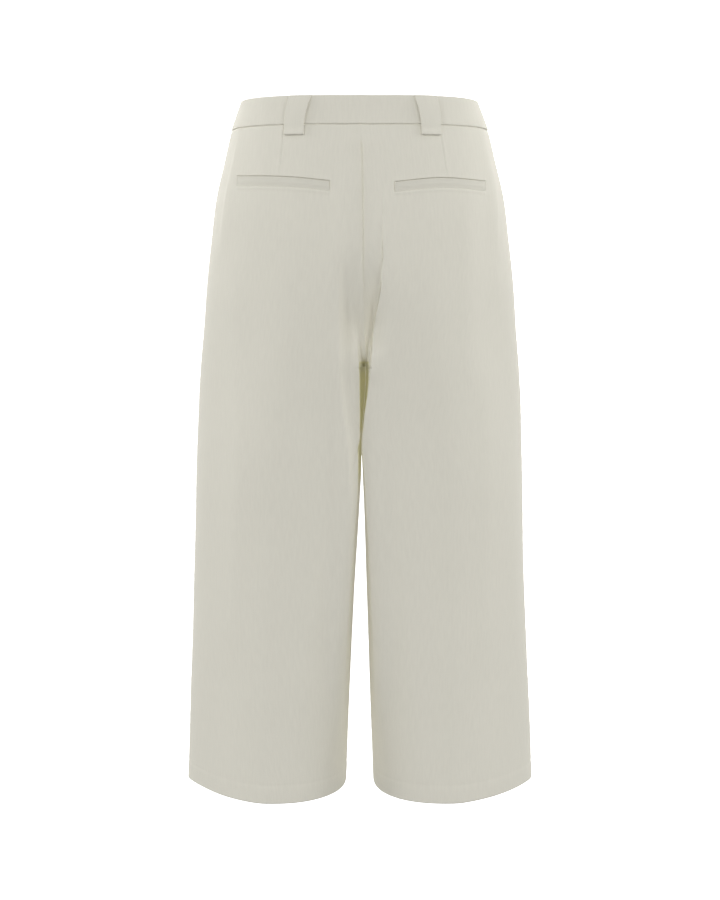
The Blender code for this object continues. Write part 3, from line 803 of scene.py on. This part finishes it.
def bent_by_welts(side, facing, u, z):
    """The rows' heights, bent beside the welts to follow their curved edges."""
    for spec in on_panel(WELTS, side, facing):
        x = side * form(side, u, np.full(u.shape, spec.z_middle))[..., 0]
        bend = welt_top(spec, x) - spec.z_middle
        z = z + bend * ease(1.25 - np.abs(z - spec.z_middle) / WELT_BEND_REACH)
    return z


def panel_skin(side, facing, u, z, along, lift):
    """A panel's skin, with the dip of its hem, kept on its own side of the seams."""
    cloth = skin(side, u, z, lift)[0]
    cloth[..., 2] -= hem_dip(u, z)
    seam = lean(u, z)
    shut = ease(1 - along / 0.004) * ease((z - CROTCH) / 0.010)
    shut = shut * (at_height(z, "half_gap") - SEAM_SPACE / 2)
    beside = np.maximum(side * (cloth[..., 0] - seam) - shut, SEAM_SPACE / 2)
    cloth[..., 0] = seam + side * beside
    out = -1 if facing == "back" else 1
    cloth[..., 1] = out * np.maximum(out * cloth[..., 1], SEAM_SPACE / 2)
    return cloth


def panel(side, facing, material):
    """A leg's back or front: one thin shell with a rounded top edge and a turned-up hem."""
    node = f"{facing}_{LEGS[side]}"
    columns = panel_columns(side, facing)
    heights, outer, inner = panel_profile(panel_heights(side, facing))
    u = np.broadcast_to(columns, (len(heights), len(columns)))
    if facing == "back":
        u = gather(side, columns, heights)
    z = bent_by_welts(side, facing, u, np.broadcast_to(heights[:, None], u.shape))
    points = form(side, u, z)
    along = run_along(points)
    x = side * points[..., 0]
    fine = dart_relief(side, facing, x, z) + hem_relief(z, along) + welt_relief(side, facing, x, z)
    fine += seam_relief(along, z, CENTRE_DEPTH) + seam_relief(along[:, -1:] - along, z, SIDE_DEPTH)
    fine -= TOP_ROLL * swell(PANEL_TOP - z, 0.0012)
    skins = [panel_skin(side, facing, u, z, along, fine + lift[:, None]) for lift in (outer, inner)]
    flat = np.stack((along - along[:, len(columns) // 2][:, None], z), axis=-1)
    # Painted shade where the legs meet, on the back panels only.
    shade = gap_shade(side, points[..., 0], side * (points[..., 0] - lean(u, z)), z)
    shade = shade * (facing == "back")
    return sleeve(
        f"{node}_cloth", np.concatenate((skins[0], skins[1][::-1])), material, node=node,
        uv=np.concatenate((flat, flat[::-1])), shade=np.concatenate((shade, shade[::-1])),
    )


# ---- band, loops, welts


def rounded_ring(low, high, out, back, round_in, count):
    """Points round a flat strip with rounded edges, as places across and lifts.

    They run along the outside from high to low, and back along the inside.
    """
    angles = np.radians(np.array([80, 50, 25]))
    middle = (out + back) / 2
    half = (out - back) / 2
    straight = np.linspace(high - round_in, low + round_in, count)
    across = round_ends(high, round_in, straight, low, round_in, angles)
    lift = np.concatenate((
        middle + half * np.cos(angles),
        np.full(count, out),
        middle + half * np.cos(angles[::-1]),
    ))
    return np.concatenate((across, across[::-1])), np.concatenate((lift, 2 * middle - lift[::-1]))


def waistband(material):
    """The band, its left end stepped in to pass under its right end at the centre front."""
    places = (LAP_UNDER, -LAP_PAST_CENTRE, -LAP_PAST_CENTRE - 0.002, -LAP_PAST_CENTRE - LAP_STEP)
    under, over, step_start, step_end = [angle_at(x, 0, "front") for x in places]
    angles = np.concatenate((
        np.linspace(under, step_start, 34),
        np.linspace(step_start, step_end, 24)[1:],
        np.linspace(step_end, over + math.tau, 420)[1:],
    ))
    z, lift = rounded_ring(-BAND_HEIGHT, 0.0, BAND_PROUD, BAND_PROUD - BAND_CLOTH, 0.0010, 14)
    sunk = (BAND_CLOTH + SEAM_GAP) * ease((step_end - angles) / (step_end - step_start))
    z = np.broadcast_to(z[:, None], (len(z), len(angles)))
    pull = 0.00012 * np.sin(math.tau * angles / 0.21 + 1.7 * np.sin(5 * angles)) * ease(-z / 0.03)
    around = round_skin(angles, z, lift[:, None] - sunk + pull)[0]
    uv = np.stack((np.broadcast_to(run_along(around[7]), z.shape), z), axis=-1)
    return sleeve("waistband_cloth", around, material, node="waistband", uv=uv)


def belt_loop(loop, material):
    """A strap over the waistband with rounded edges and its folded end sewn below the seam."""
    top, bottom = STRAP[0].z, STRAP[-1].z
    angles = np.radians(np.array([80, 55, 30, 12]))
    between = np.linspace(top - 0.0010, bottom + LOOP_END_ROUND + 0.0002, 52)
    rows = round_ends(top, LOOP_TOP_ROUND, between, bottom, LOOP_END_ROUND, angles)
    pinch = np.ones(len(rows))
    pinch[:4] = np.cos(angles)
    pinch[-4:] = np.cos(angles[::-1])
    share = 1 - (1 - np.clip((rows - top) / (bottom - top), 0, 1)) ** LOOP_BEND
    middle = loop.x_top + (loop.x_bottom - loop.x_top) * share
    width = LOOP_WIDTH_TOP + (LOOP_WIDTH_BOTTOM - LOOP_WIDTH_TOP) * share
    across, lift = rounded_ring(-0.5, 0.5, 0.5, -0.5, 0.03, 17)
    groove = 0.10 * swell(0.5 - np.abs(across) - 0.085, 0.022) * (lift > 0)
    off = middle + across[:, None] * width
    z = np.broadcast_to(rows, off.shape)
    u = find_u(loop.side, loop.facing, off, z)
    thick = at_height(rows, "thick", STRAP)
    level = at_height(rows, "off", STRAP) + thick * (0.5 + (lift - groove)[:, None] * pinch)
    around = skin(loop.side, u, z, BAND_PROUD + level)[0]
    uv = np.stack((across[:, None] * width, z), axis=-1)
    return sleeve(f"{loop.name}_cloth", around, material, node=loop.name, uv=uv, sharp=50)


def welt(spec, material):
    """The folded strip of a back pocket, lying in its bed below the pocket's slit."""
    ends = np.array([0.0, 0.0003, 0.0009, 0.0018])
    x = np.concatenate((
        spec.x_inner + 0.0004 + ends,
        np.linspace(spec.x_inner + 0.004, spec.x_outer - 0.004, 60),
        spec.x_outer - 0.0004 - ends[::-1],
    ))
    across, lift = rounded_ring(-WELT_HEIGHT, 0.0, 0.0004, -0.0009, 0.0008, 12)
    outside = lift > -0.0002
    roll = 0.0003 * swell(across, 0.0016) * outside
    thin = 0.0010 * ease((-across - 0.0045) / (WELT_HEIGHT - 0.0045)) * outside
    ends = 0.0006 * ease(1 - np.minimum(x - x[0], x[-1] - x) / 0.0030)
    lift = (lift + roll)[:, None] - np.maximum(thin[:, None], ends * outside[:, None])
    z = welt_top(spec, x) + across[:, None]
    wide = np.broadcast_to(x, z.shape)
    around = skin(spec.side, find_u(spec.side, "back", wide, z), z, lift)[0]
    uv = np.stack((z, wide), axis=-1)
    return sleeve(f"{spec.name}_cloth", around, material, node=spec.name, uv=uv, sharp=50)


# ---- stitches


def joined(parts):
    """The vertices and faces of several (vertices, faces) parts as one."""
    vertices = []
    faces = []
    for points, polygons in parts:
        start = len(vertices)
        vertices += [tuple(point) for point in points]
        faces += [[start + i for i in face] for face in polygons]
    return vertices, faces


def capsule(start, end, radius, sides=6):
    """A stitch: a short rod with pointed ends, from start to end."""
    start, end = Vector(start), Vector(end)
    axis = (end - start).normalized()
    across = axis.orthogonal().normalized()
    up = axis.cross(across)
    points = [start]
    for share, size in ((0.12, 0.8), (0.35, 1.0), (0.65, 1.0), (0.88, 0.8)):
        centre = start.lerp(end, share)
        for k in range(sides):
            turn = math.tau * k / sides
            points.append(centre + radius * size * (across * math.cos(turn) + up * math.sin(turn)))
    points.append(end)
    faces = ring_quads(1, 4, sides)
    last = 1 + 3 * sides
    for k in range(sides):
        after = (k + 1) % sides
        faces += [[0, 1 + k, 1 + after], [last + sides, last + after, last + k]]
    return points, faces


def stitches(name, ends, radius, material):
    """One piece of stitches, each between two points."""
    vertices, faces = joined([capsule(start, end, radius) for start, end in ends])
    return add_piece(name, vertices, faces, material)


def fly_stitching(material):
    """The curved line of stitches beside the fly, on the wearer's right."""
    places = [(FLY_WIDTH, z) for z in np.linspace(-0.0325, FLY_STRAIGHT, 40)]
    for turn in np.linspace(0, math.pi / 2, 24)[1:]:
        x = FLY_WIDTH - FLY_CURVE * (1 - math.cos(turn))
        places.append((x, FLY_STRAIGHT - FLY_DROP * math.sin(turn)))
    x, z = np.array(places).T
    points = skin(1, find_u(1, "front", x, z), z, 0.0001)[0]
    run = run_along(points)
    starts = np.arange(0, run[-1] - FLY_STITCH, FLY_STITCH + 0.0005)
    ends = [
        [[np.interp(place, run, column) for column in points.T] for place in (s, s + FLY_STITCH)]
        for s in starts
    ]
    return stitches("fly_stitches", ends, STITCH_RADIUS, material)


# ---- button and zip


def seat_of(points, normals):
    """A place on the cloth as a matrix: level across, up along the cloth, and out of it."""
    out = Vector(normals[0])
    across = Vector((0, 0, 1)).cross(out).normalized()
    turn = Matrix((across, out.cross(across), out)).transposed()
    return Matrix.Translation(Vector(points[0])) @ turn.to_4x4()


def button_place():
    """Where the button sits on the lap."""
    z = -BAND_HEIGHT / 2
    angle = angle_at(BUTTON_X, z, "front")
    return seat_of(*round_skin(np.array([angle]), np.array([z]), BAND_PROUD + SEAM_GAP))


def button_disc():
    """The button as it was turned: a round disc with a raised rim."""
    radius, thick = BUTTON_RADIUS, BUTTON_THICKNESS
    profile = (
        (0.0, 0.0002), (0.0050, 0.0001), (radius - 0.0010, 0.0002), (radius - 0.0003, 0.0006),
        (radius, 0.0013), (radius - 0.0001, 0.0020), (radius - 0.0006, 0.0027),
        (radius - 0.0013, thick), (radius - 0.0021, thick - 0.0002),
        (radius - 0.0030, thick - 0.0009), (radius - 0.0042, thick - 0.0012),
        (0.0020, thick - 0.0013), (0.0, thick - 0.0013),
    )
    bm = bmesh.new()
    rim = [bm.verts.new((out, 0, up)) for out, up in profile]
    edges = [bm.edges.new(pair) for pair in zip(rim, rim[1:])]
    bmesh.ops.spin(bm, geom=rim + edges, cent=(0, 0, 0), axis=(0, 0, 1), angle=math.tau, steps=64)
    bmesh.ops.remove_doubles(bm, verts=bm.verts, dist=0.00001)
    bmesh.ops.recalc_face_normals(bm, faces=bm.faces)
    return bm


def button_drills():
    """Four rods that cut the button's holes."""
    bm = bmesh.new()
    for side in (-1, 1):
        for up in (-1, 1):
            bmesh.ops.create_cone(
                bm, cap_ends=True, segments=20, radius1=HOLE_RADIUS, radius2=HOLE_RADIUS,
                depth=0.006, matrix=Matrix.Translation((side * HOLE_OFF, up * HOLE_OFF, 0.001)),
            )
    return bm


def spare_object(name, bm):
    """An object that only helps to make a piece."""
    mesh = bpy.data.meshes.new(name)
    bm.to_mesh(mesh)
    bm.free()
    return new_object(name, mesh)


def button(place, material):
    """The four-hole button."""
    disc = spare_object("button_disc", button_disc())
    cutter = spare_object("button_cutter", button_drills())
    cut = disc.modifiers.new("holes", "BOOLEAN")
    cut.operation = "DIFFERENCE"
    cut.object = cutter
    bpy.context.view_layer.update()
    made = disc.evaluated_get(bpy.context.evaluated_depsgraph_get()).data
    points = [place @ v.co for v in made.vertices]
    faces = [list(face.vertices) for face in made.polygons]
    for spare in (disc, cutter):
        bpy.data.objects.remove(spare, do_unlink=True)
    return add_piece("button_horn", points, faces, material, node="button", sharp=30)


def button_sewing(place, material):
    """The thread that holds the button: three turns over each pair of holes."""
    ends = []
    for k in range(3):
        height = BUTTON_THICKNESS - 0.0011 + 0.0001 * k
        for side in (-1, 1):
            x = side * HOLE_OFF + (k - 1) * 0.00022
            ends.append([place @ Vector((x, up * 0.0017, height)) for up in (-1, 1)])
    return stitches("button_thread", ends, 0.00016, material)


def buttonhole(place, material):
    """The worked edge of the buttonhole that shows beside the button."""
    lift = -SEAM_GAP + 0.0001
    ends = []
    for x in np.linspace(0.0025, 0.0025 - BUTTONHOLE_LENGTH, 44):
        for side in (-1, 1):
            ends.append([place @ Vector((x, side * y, lift)) for y in (0.0003, 0.0017)])
    return stitches("buttonhole", ends, STITCH_RADIUS, material)


def zip_tape(material):
    """The closed zip's tape behind the fly, in one piece."""
    rows = np.linspace(ZIP_TOP, ZIP_TOP - ZIP_LENGTH, 90)
    across, lift = rounded_ring(ZIP_LEFT, ZIP_RIGHT, 0.0, -0.0009, 0.0005, 15)
    z = np.broadcast_to(rows, (len(across), len(rows)))
    x = np.broadcast_to(across[:, None], z.shape)
    halves = []
    for side in (LEFT, RIGHT):
        u = find_u(side, "front", np.maximum(side * x, 0.0002), z)
        halves.append(skin(side, u, z, lift[:, None] + ZIP_LIFT)[0])
    around = np.where((x > 0)[..., None], halves[1], halves[0])
    uv = np.stack((x, z), axis=-1)
    return sleeve("zip_tape", around, material, node="fly_zip", uv=uv)


def zip_tooth(x, z):
    """One moulded tooth of the zip, tapered towards the body."""
    x, z = np.array([x]), np.array([z])
    seat = seat_of(*skin(1, find_u(1, "front", x, z), z, ZIP_LIFT - TOOTH_DEEP))
    points = []
    for out, size in ((0.0, 1.0), (-0.0007, 1.0), (-0.0011, 0.55)):
        for across, up in ((-1, -1), (1, -1), (1, 1), (-1, 1)):
            points.append(seat @ Vector((across * 0.0011 * size, up * 0.00042 * size, out)))
    return points, [[3, 2, 1, 0], [8, 9, 10, 11], *ring_quads(0, 3, 4)]


def zip_teeth(material):
    """The zip's interlocked teeth."""
    teeth = []
    for k in range(int((ZIP_LENGTH - 0.006) / TOOTH_PITCH)):
        x = (ZIP_LEFT + ZIP_RIGHT) / 2 + (TOOTH_OFF if k % 2 else -TOOTH_OFF)
        teeth.append(zip_tooth(x, ZIP_TOP - 0.003 - k * TOOTH_PITCH))
    vertices, faces = joined(teeth)
    return add_piece("zip_teeth", vertices, faces, material)


# ---- materials


class Nodes:
    """Short ways to add nodes to a material."""

    def __init__(self, name):
        self.material = bpy.data.materials.new(name)
        self.material.use_nodes = True
        self.tree = self.material.node_tree

    def feed(self, socket, value):
        """Gives a socket a value or another node's output."""
        if isinstance(value, bpy.types.NodeSocket):
            self.tree.links.new(value, socket)
        else:
            socket.default_value = value

    def add(self, kind, settings=None, output=0, **inputs):
        """The output of a new node, from its settings and inputs."""
        node = self.tree.nodes.new(f"ShaderNode{kind}")
        for key, value in (settings or {}).items():
            setattr(node, key, value)
        for key, value in inputs.items():
            self.feed(node.inputs[key.replace("_", " ")], value)
        return node.outputs[output]

    def cloth(self):
        """Places on the flat cloth, in metres."""
        return self.add("UVMap", {"uv_map": "cloth"})

    def noise(self, place, scale, **inputs):
        """Noise from 0 to 1 at places."""
        return self.add("TexNoise", Vector=place, Scale=scale, **inputs)

    def ribs(self, place, direction, scale, **inputs):
        """Bands from 0 to 1 at places."""
        settings = {"bands_direction": direction}
        return self.add("TexWave", settings, "Fac", Vector=place, Scale=scale, **inputs)

    def ramp(self, value, **ends):
        """A value moved to other ends."""
        return self.add("MapRange", Value=value, **ends)

    def math(self, operation, first, second):
        """The result of a sum on two values."""
        result = self.add("Math", {"operation": operation})
        for socket, value in zip(result.node.inputs, (first, second)):
            self.feed(socket, value)
        return result

    def mix(self, factor, first, second):
        """Two colours mixed by a factor."""
        result = self.add("Mix", {"data_type": "RGBA"}, 2)
        self.feed(result.node.inputs[0], factor)
        for index, colour in ((6, first), (7, second)):
            is_link = isinstance(colour, bpy.types.NodeSocket)
            self.feed(result.node.inputs[index], colour if is_link else (*colour, 1))
        return result

    def finish(self, **inputs):
        """The material, its shader's sockets set to values or other nodes' outputs."""
        shader = self.tree.nodes["Principled BSDF"]
        for key, value in inputs.items():
            self.feed(shader.inputs[key.replace("_", " ")], value)
        return self.material


def crepe(name, turn=0.0, painted_shade_tone=1.0):
    """Fine crepe twill: slanting ribs broken by crepe grain, slubs, faint mottling and nap."""
    nodes = Nodes(name)
    place = nodes.cloth()
    slant = nodes.add("Mapping", Vector=place, Rotation=(0, 0, TWILL_SLANT + turn))
    grain = nodes.noise(place, 1500.0, Detail=2.0, Roughness=0.6)
    ribs = nodes.ribs(slant, "X", BANDS / TWILL_PITCH, Distortion=1.6, Detail_Scale=1.3)
    stretch = nodes.add("Mapping", Vector=place, Scale=(1.0, 0.12, 1.0))
    slub = nodes.ramp(nodes.noise(stretch, 520.0, Detail=2.0), From_Min=0.35, From_Max=0.65)
    mottle = nodes.noise(place, 26.0, Detail=3.0, Roughness=0.55)
    weave = nodes.math("MULTIPLY", ribs, 0.55)
    weave = nodes.math("ADD", weave, nodes.math("MULTIPLY", grain, 0.75))
    weave = nodes.math("ADD", weave, nodes.math("MULTIPLY", slub, 0.45))
    # A tone below 1 darkens the whole cloth as painted shade; the welts' cloth uses it.
    base, pale, deep = ([channel * painted_shade_tone * k for channel in CREPE] for k in (1.0, 1.045, 0.925))
    colour = nodes.mix(nodes.math("MULTIPLY", weave, 0.585), deep, pale)
    patches = nodes.ramp(mottle, From_Min=0.35, From_Max=0.65, To_Min=0.0, To_Max=0.35)
    colour = nodes.mix(patches, colour, base)
    # Painted shade where the legs meet: the colour turns olive, then a deeper olive, by the shade
    # attribute.
    shade = nodes.add("Attribute", {"attribute_name": "shade"}, "Fac")
    colour = nodes.mix(nodes.ramp(shade, From_Max=0.5), colour, GAP_PAINTED_SHADE)
    colour = nodes.mix(nodes.ramp(shade, From_Min=0.5), colour, GAP_PAINTED_DEEP_SHADE)
    return nodes.finish(
        Base_Color=colour, Roughness=nodes.ramp(grain, To_Min=0.82, To_Max=0.96),
        Specular_IOR_Level=0.25, Sheen_Weight=0.12, Sheen_Roughness=0.5,
        Sheen_Tint=(1.0, 0.98, 0.92, 1.0),
        Normal=nodes.add("Bump", Height=weave, Strength=0.35, Distance=0.00022),
    )


def horn():
    """The button: satin resin with faint clouded streaks."""
    nodes = Nodes("button_resin")
    place = nodes.add("TexCoord", output="Object")
    cloud = nodes.noise(place, 260.0, Detail=3.0, Distortion=1.2)
    return nodes.finish(
        Base_Color=nodes.mix(cloud, (0.55, 0.51, 0.42), (0.66, 0.62, 0.53)),
        Roughness=nodes.ramp(cloud, To_Min=0.28, To_Max=0.42),
        Coat_Weight=0.25, Coat_Roughness=0.2,
    )


def thread():
    """Sewing thread: fine twisted ply in the cloth's own colour."""
    nodes = Nodes("thread")
    place = nodes.add("TexCoord", output="Object")
    twist = nodes.ribs(place, "DIAGONAL", 700.0, Distortion=1.0)
    return nodes.finish(
        Base_Color=nodes.mix(twist, (0.57, 0.55, 0.47), (0.68, 0.66, 0.58)),
        Roughness=0.55, Sheen_Weight=0.2,
        Normal=nodes.add("Bump", Height=twist, Strength=0.3, Distance=0.0001),
    )


def zip_cloth():
    """The zip's tape: a plain weave with fine lengthwise ribs."""
    nodes = Nodes("zip_weave")
    place = nodes.cloth()
    ribs = nodes.ribs(place, "X", BANDS / 0.0009, Distortion=0.3)
    threads = nodes.ribs(place, "Y", BANDS / 0.0006, Distortion=0.3)
    weave = nodes.math("MULTIPLY", ribs, threads)
    return nodes.finish(
        Base_Color=nodes.mix(weave, (0.52, 0.50, 0.42), (0.62, 0.60, 0.52)), Roughness=0.85,
        Normal=nodes.add("Bump", Height=weave, Strength=0.4, Distance=0.0002),
    )


def zip_plastic():
    """The zip's moulded teeth."""
    nodes = Nodes("zip_teeth")
    speck = nodes.noise(nodes.add("TexCoord", output="Object"), 900.0, Detail=2.0)
    return nodes.finish(
        Base_Color=nodes.mix(speck, (0.56, 0.54, 0.46), (0.64, 0.62, 0.54)),
        Roughness=nodes.ramp(speck, To_Min=0.3, To_Max=0.45),
    )


# ---- the studio


def studio():
    """A pale floor that rises into a pale wall, seen by the camera alone."""
    profile = [(FLOOR_REACH * k / 12, FLOOR) for k in range(1, 13)]
    for turn in math.pi / 2 * np.arange(1, 29) / 28:
        radius = FLOOR_REACH + WALL_ROUND * math.sin(turn)
        profile.append((radius, FLOOR + WALL_ROUND * (1 - math.cos(turn))))
    sides = 64
    points = [(0, 0, FLOOR)]
    for radius, height in profile:
        for turn in math.tau * np.arange(sides) / sides:
            points.append((radius * math.cos(turn), radius * math.sin(turn), height))
    faces = [[0, 1 + k, 1 + (k + 1) % sides] for k in range(sides)]
    mesh = bpy.data.meshes.new("studio")
    mesh.from_pydata(points, [], faces + ring_quads(1, len(profile), sides))
    mesh.shade_smooth()
    nodes = Nodes("studio_paper")
    speck = nodes.noise(nodes.add("TexCoord", output="Object"), 3.0)
    mesh.materials.append(nodes.finish(
        Base_Color=nodes.mix(speck, (0.93, 0.93, 0.93), (0.95, 0.95, 0.95)), Roughness=0.9,
        Emission_Color=(1, 1, 1, 1), Emission_Strength=0.9,
    ))
    paper = new_object("studio", mesh)
    paper.visible_diffuse = False
    paper.visible_glossy = False
    paper.visible_transmission = False
    paper.visible_shadow = False


def soft_light(lamp, side):
    """A rectangular light beside the garment that looks at its target."""
    light = bpy.data.lights.new(f"{lamp.name}_{side}", "AREA")
    light.shape = "RECTANGLE"
    light.size, light.size_y = lamp.size
    light.energy = lamp.power
    light.spread = math.radians(lamp.spread)
    thing = new_object(light.name, light)
    flip = Vector((side, 1, 1))
    thing.location = flip * Vector(lamp.place)
    towards = flip * Vector(lamp.target) - thing.location
    thing.rotation_euler = towards.to_track_quat("-Z", "Y").to_euler()


def fill_light(fill, side):
    """Even light from a direction, in degrees from the camera's side."""
    light = bpy.data.lights.new(f"fill_{fill.name}_{side}", "SUN")
    light.energy = fill.strength * math.pi
    light.angle = math.radians(20)
    light.use_shadow = fill.shadow
    turn, rise = math.radians(side * fill.across), math.radians(fill.up)
    towards = Vector((
        -math.sin(turn) * math.cos(rise), math.cos(turn) * math.cos(rise), -math.sin(rise),
    ))
    new_object(light.name, light).rotation_euler = towards.to_track_quat("-Z", "Y").to_euler()


def light_up():
    """Flat catalogue light: a dim pale room, even fills all round and soft lights at the hips."""
    world = bpy.data.worlds.new("room")
    world.use_nodes = True
    ground = world.node_tree.nodes["Background"]
    ground.inputs["Color"].default_value = ROOM_COLOUR
    ground.inputs["Strength"].default_value = ROOM_STRENGTH
    bpy.context.scene.world = world
    for side in (LEFT, RIGHT):
        for fill in FILLS:
            fill_light(fill, side)
        for lamp in LAMPS:
            soft_light(lamp, side)
    view = bpy.context.scene.view_settings
    view.view_transform = "Standard"
    view.look = "None"


def look():
    """The camera, level sides up, tilted a little down."""
    camera = bpy.data.cameras.new("camera")
    camera.lens = CAMERA_LENS
    camera.sensor_width = 36
    camera.sensor_fit = "AUTO"
    camera.clip_end = 60
    thing = new_object("camera", camera)
    thing.location = CAMERA_PLACE
    thing.rotation_euler = (math.pi / 2 - CAMERA_TILT, 0, 0)
    bpy.context.scene.camera = thing


# ---- everything


def dress():
    """All the pieces, each on its node's place and the cut of its cloth."""
    body_cloth = crepe("crepe")
    cross_cloth = crepe("crepe_cross", turn=math.pi / 2)
    # The welts' cloth is a darker copy of the crosswise crepe: painted shade.
    welt_cloth_painted_shade = crepe("crepe_welt_painted_shade", turn=math.pi / 2, painted_shade_tone=WELT_PAINTED_SHADE)
    sewing = thread()
    back_left, back_right = [panel(side, "back", body_cloth) for side in (LEFT, RIGHT)]
    front_left, front_right = [panel(side, "front", body_cloth) for side in (LEFT, RIGHT)]
    band = waistband(cross_cloth)
    loops = [belt_loop(loop, cross_cloth) for loop in LOOPS]
    welts = [welt(spec, welt_cloth_painted_shade) for spec in WELTS]
    place = button_place()
    disc = button(place, horn())
    ties = button_sewing(place, sewing)
    tape = zip_tape(zip_cloth())
    teeth = zip_teeth(zip_plastic())
    fly = fly_stitching(sewing)
    hole = buttonhole(place, sewing)


look()
light_up()
studio()
dress()
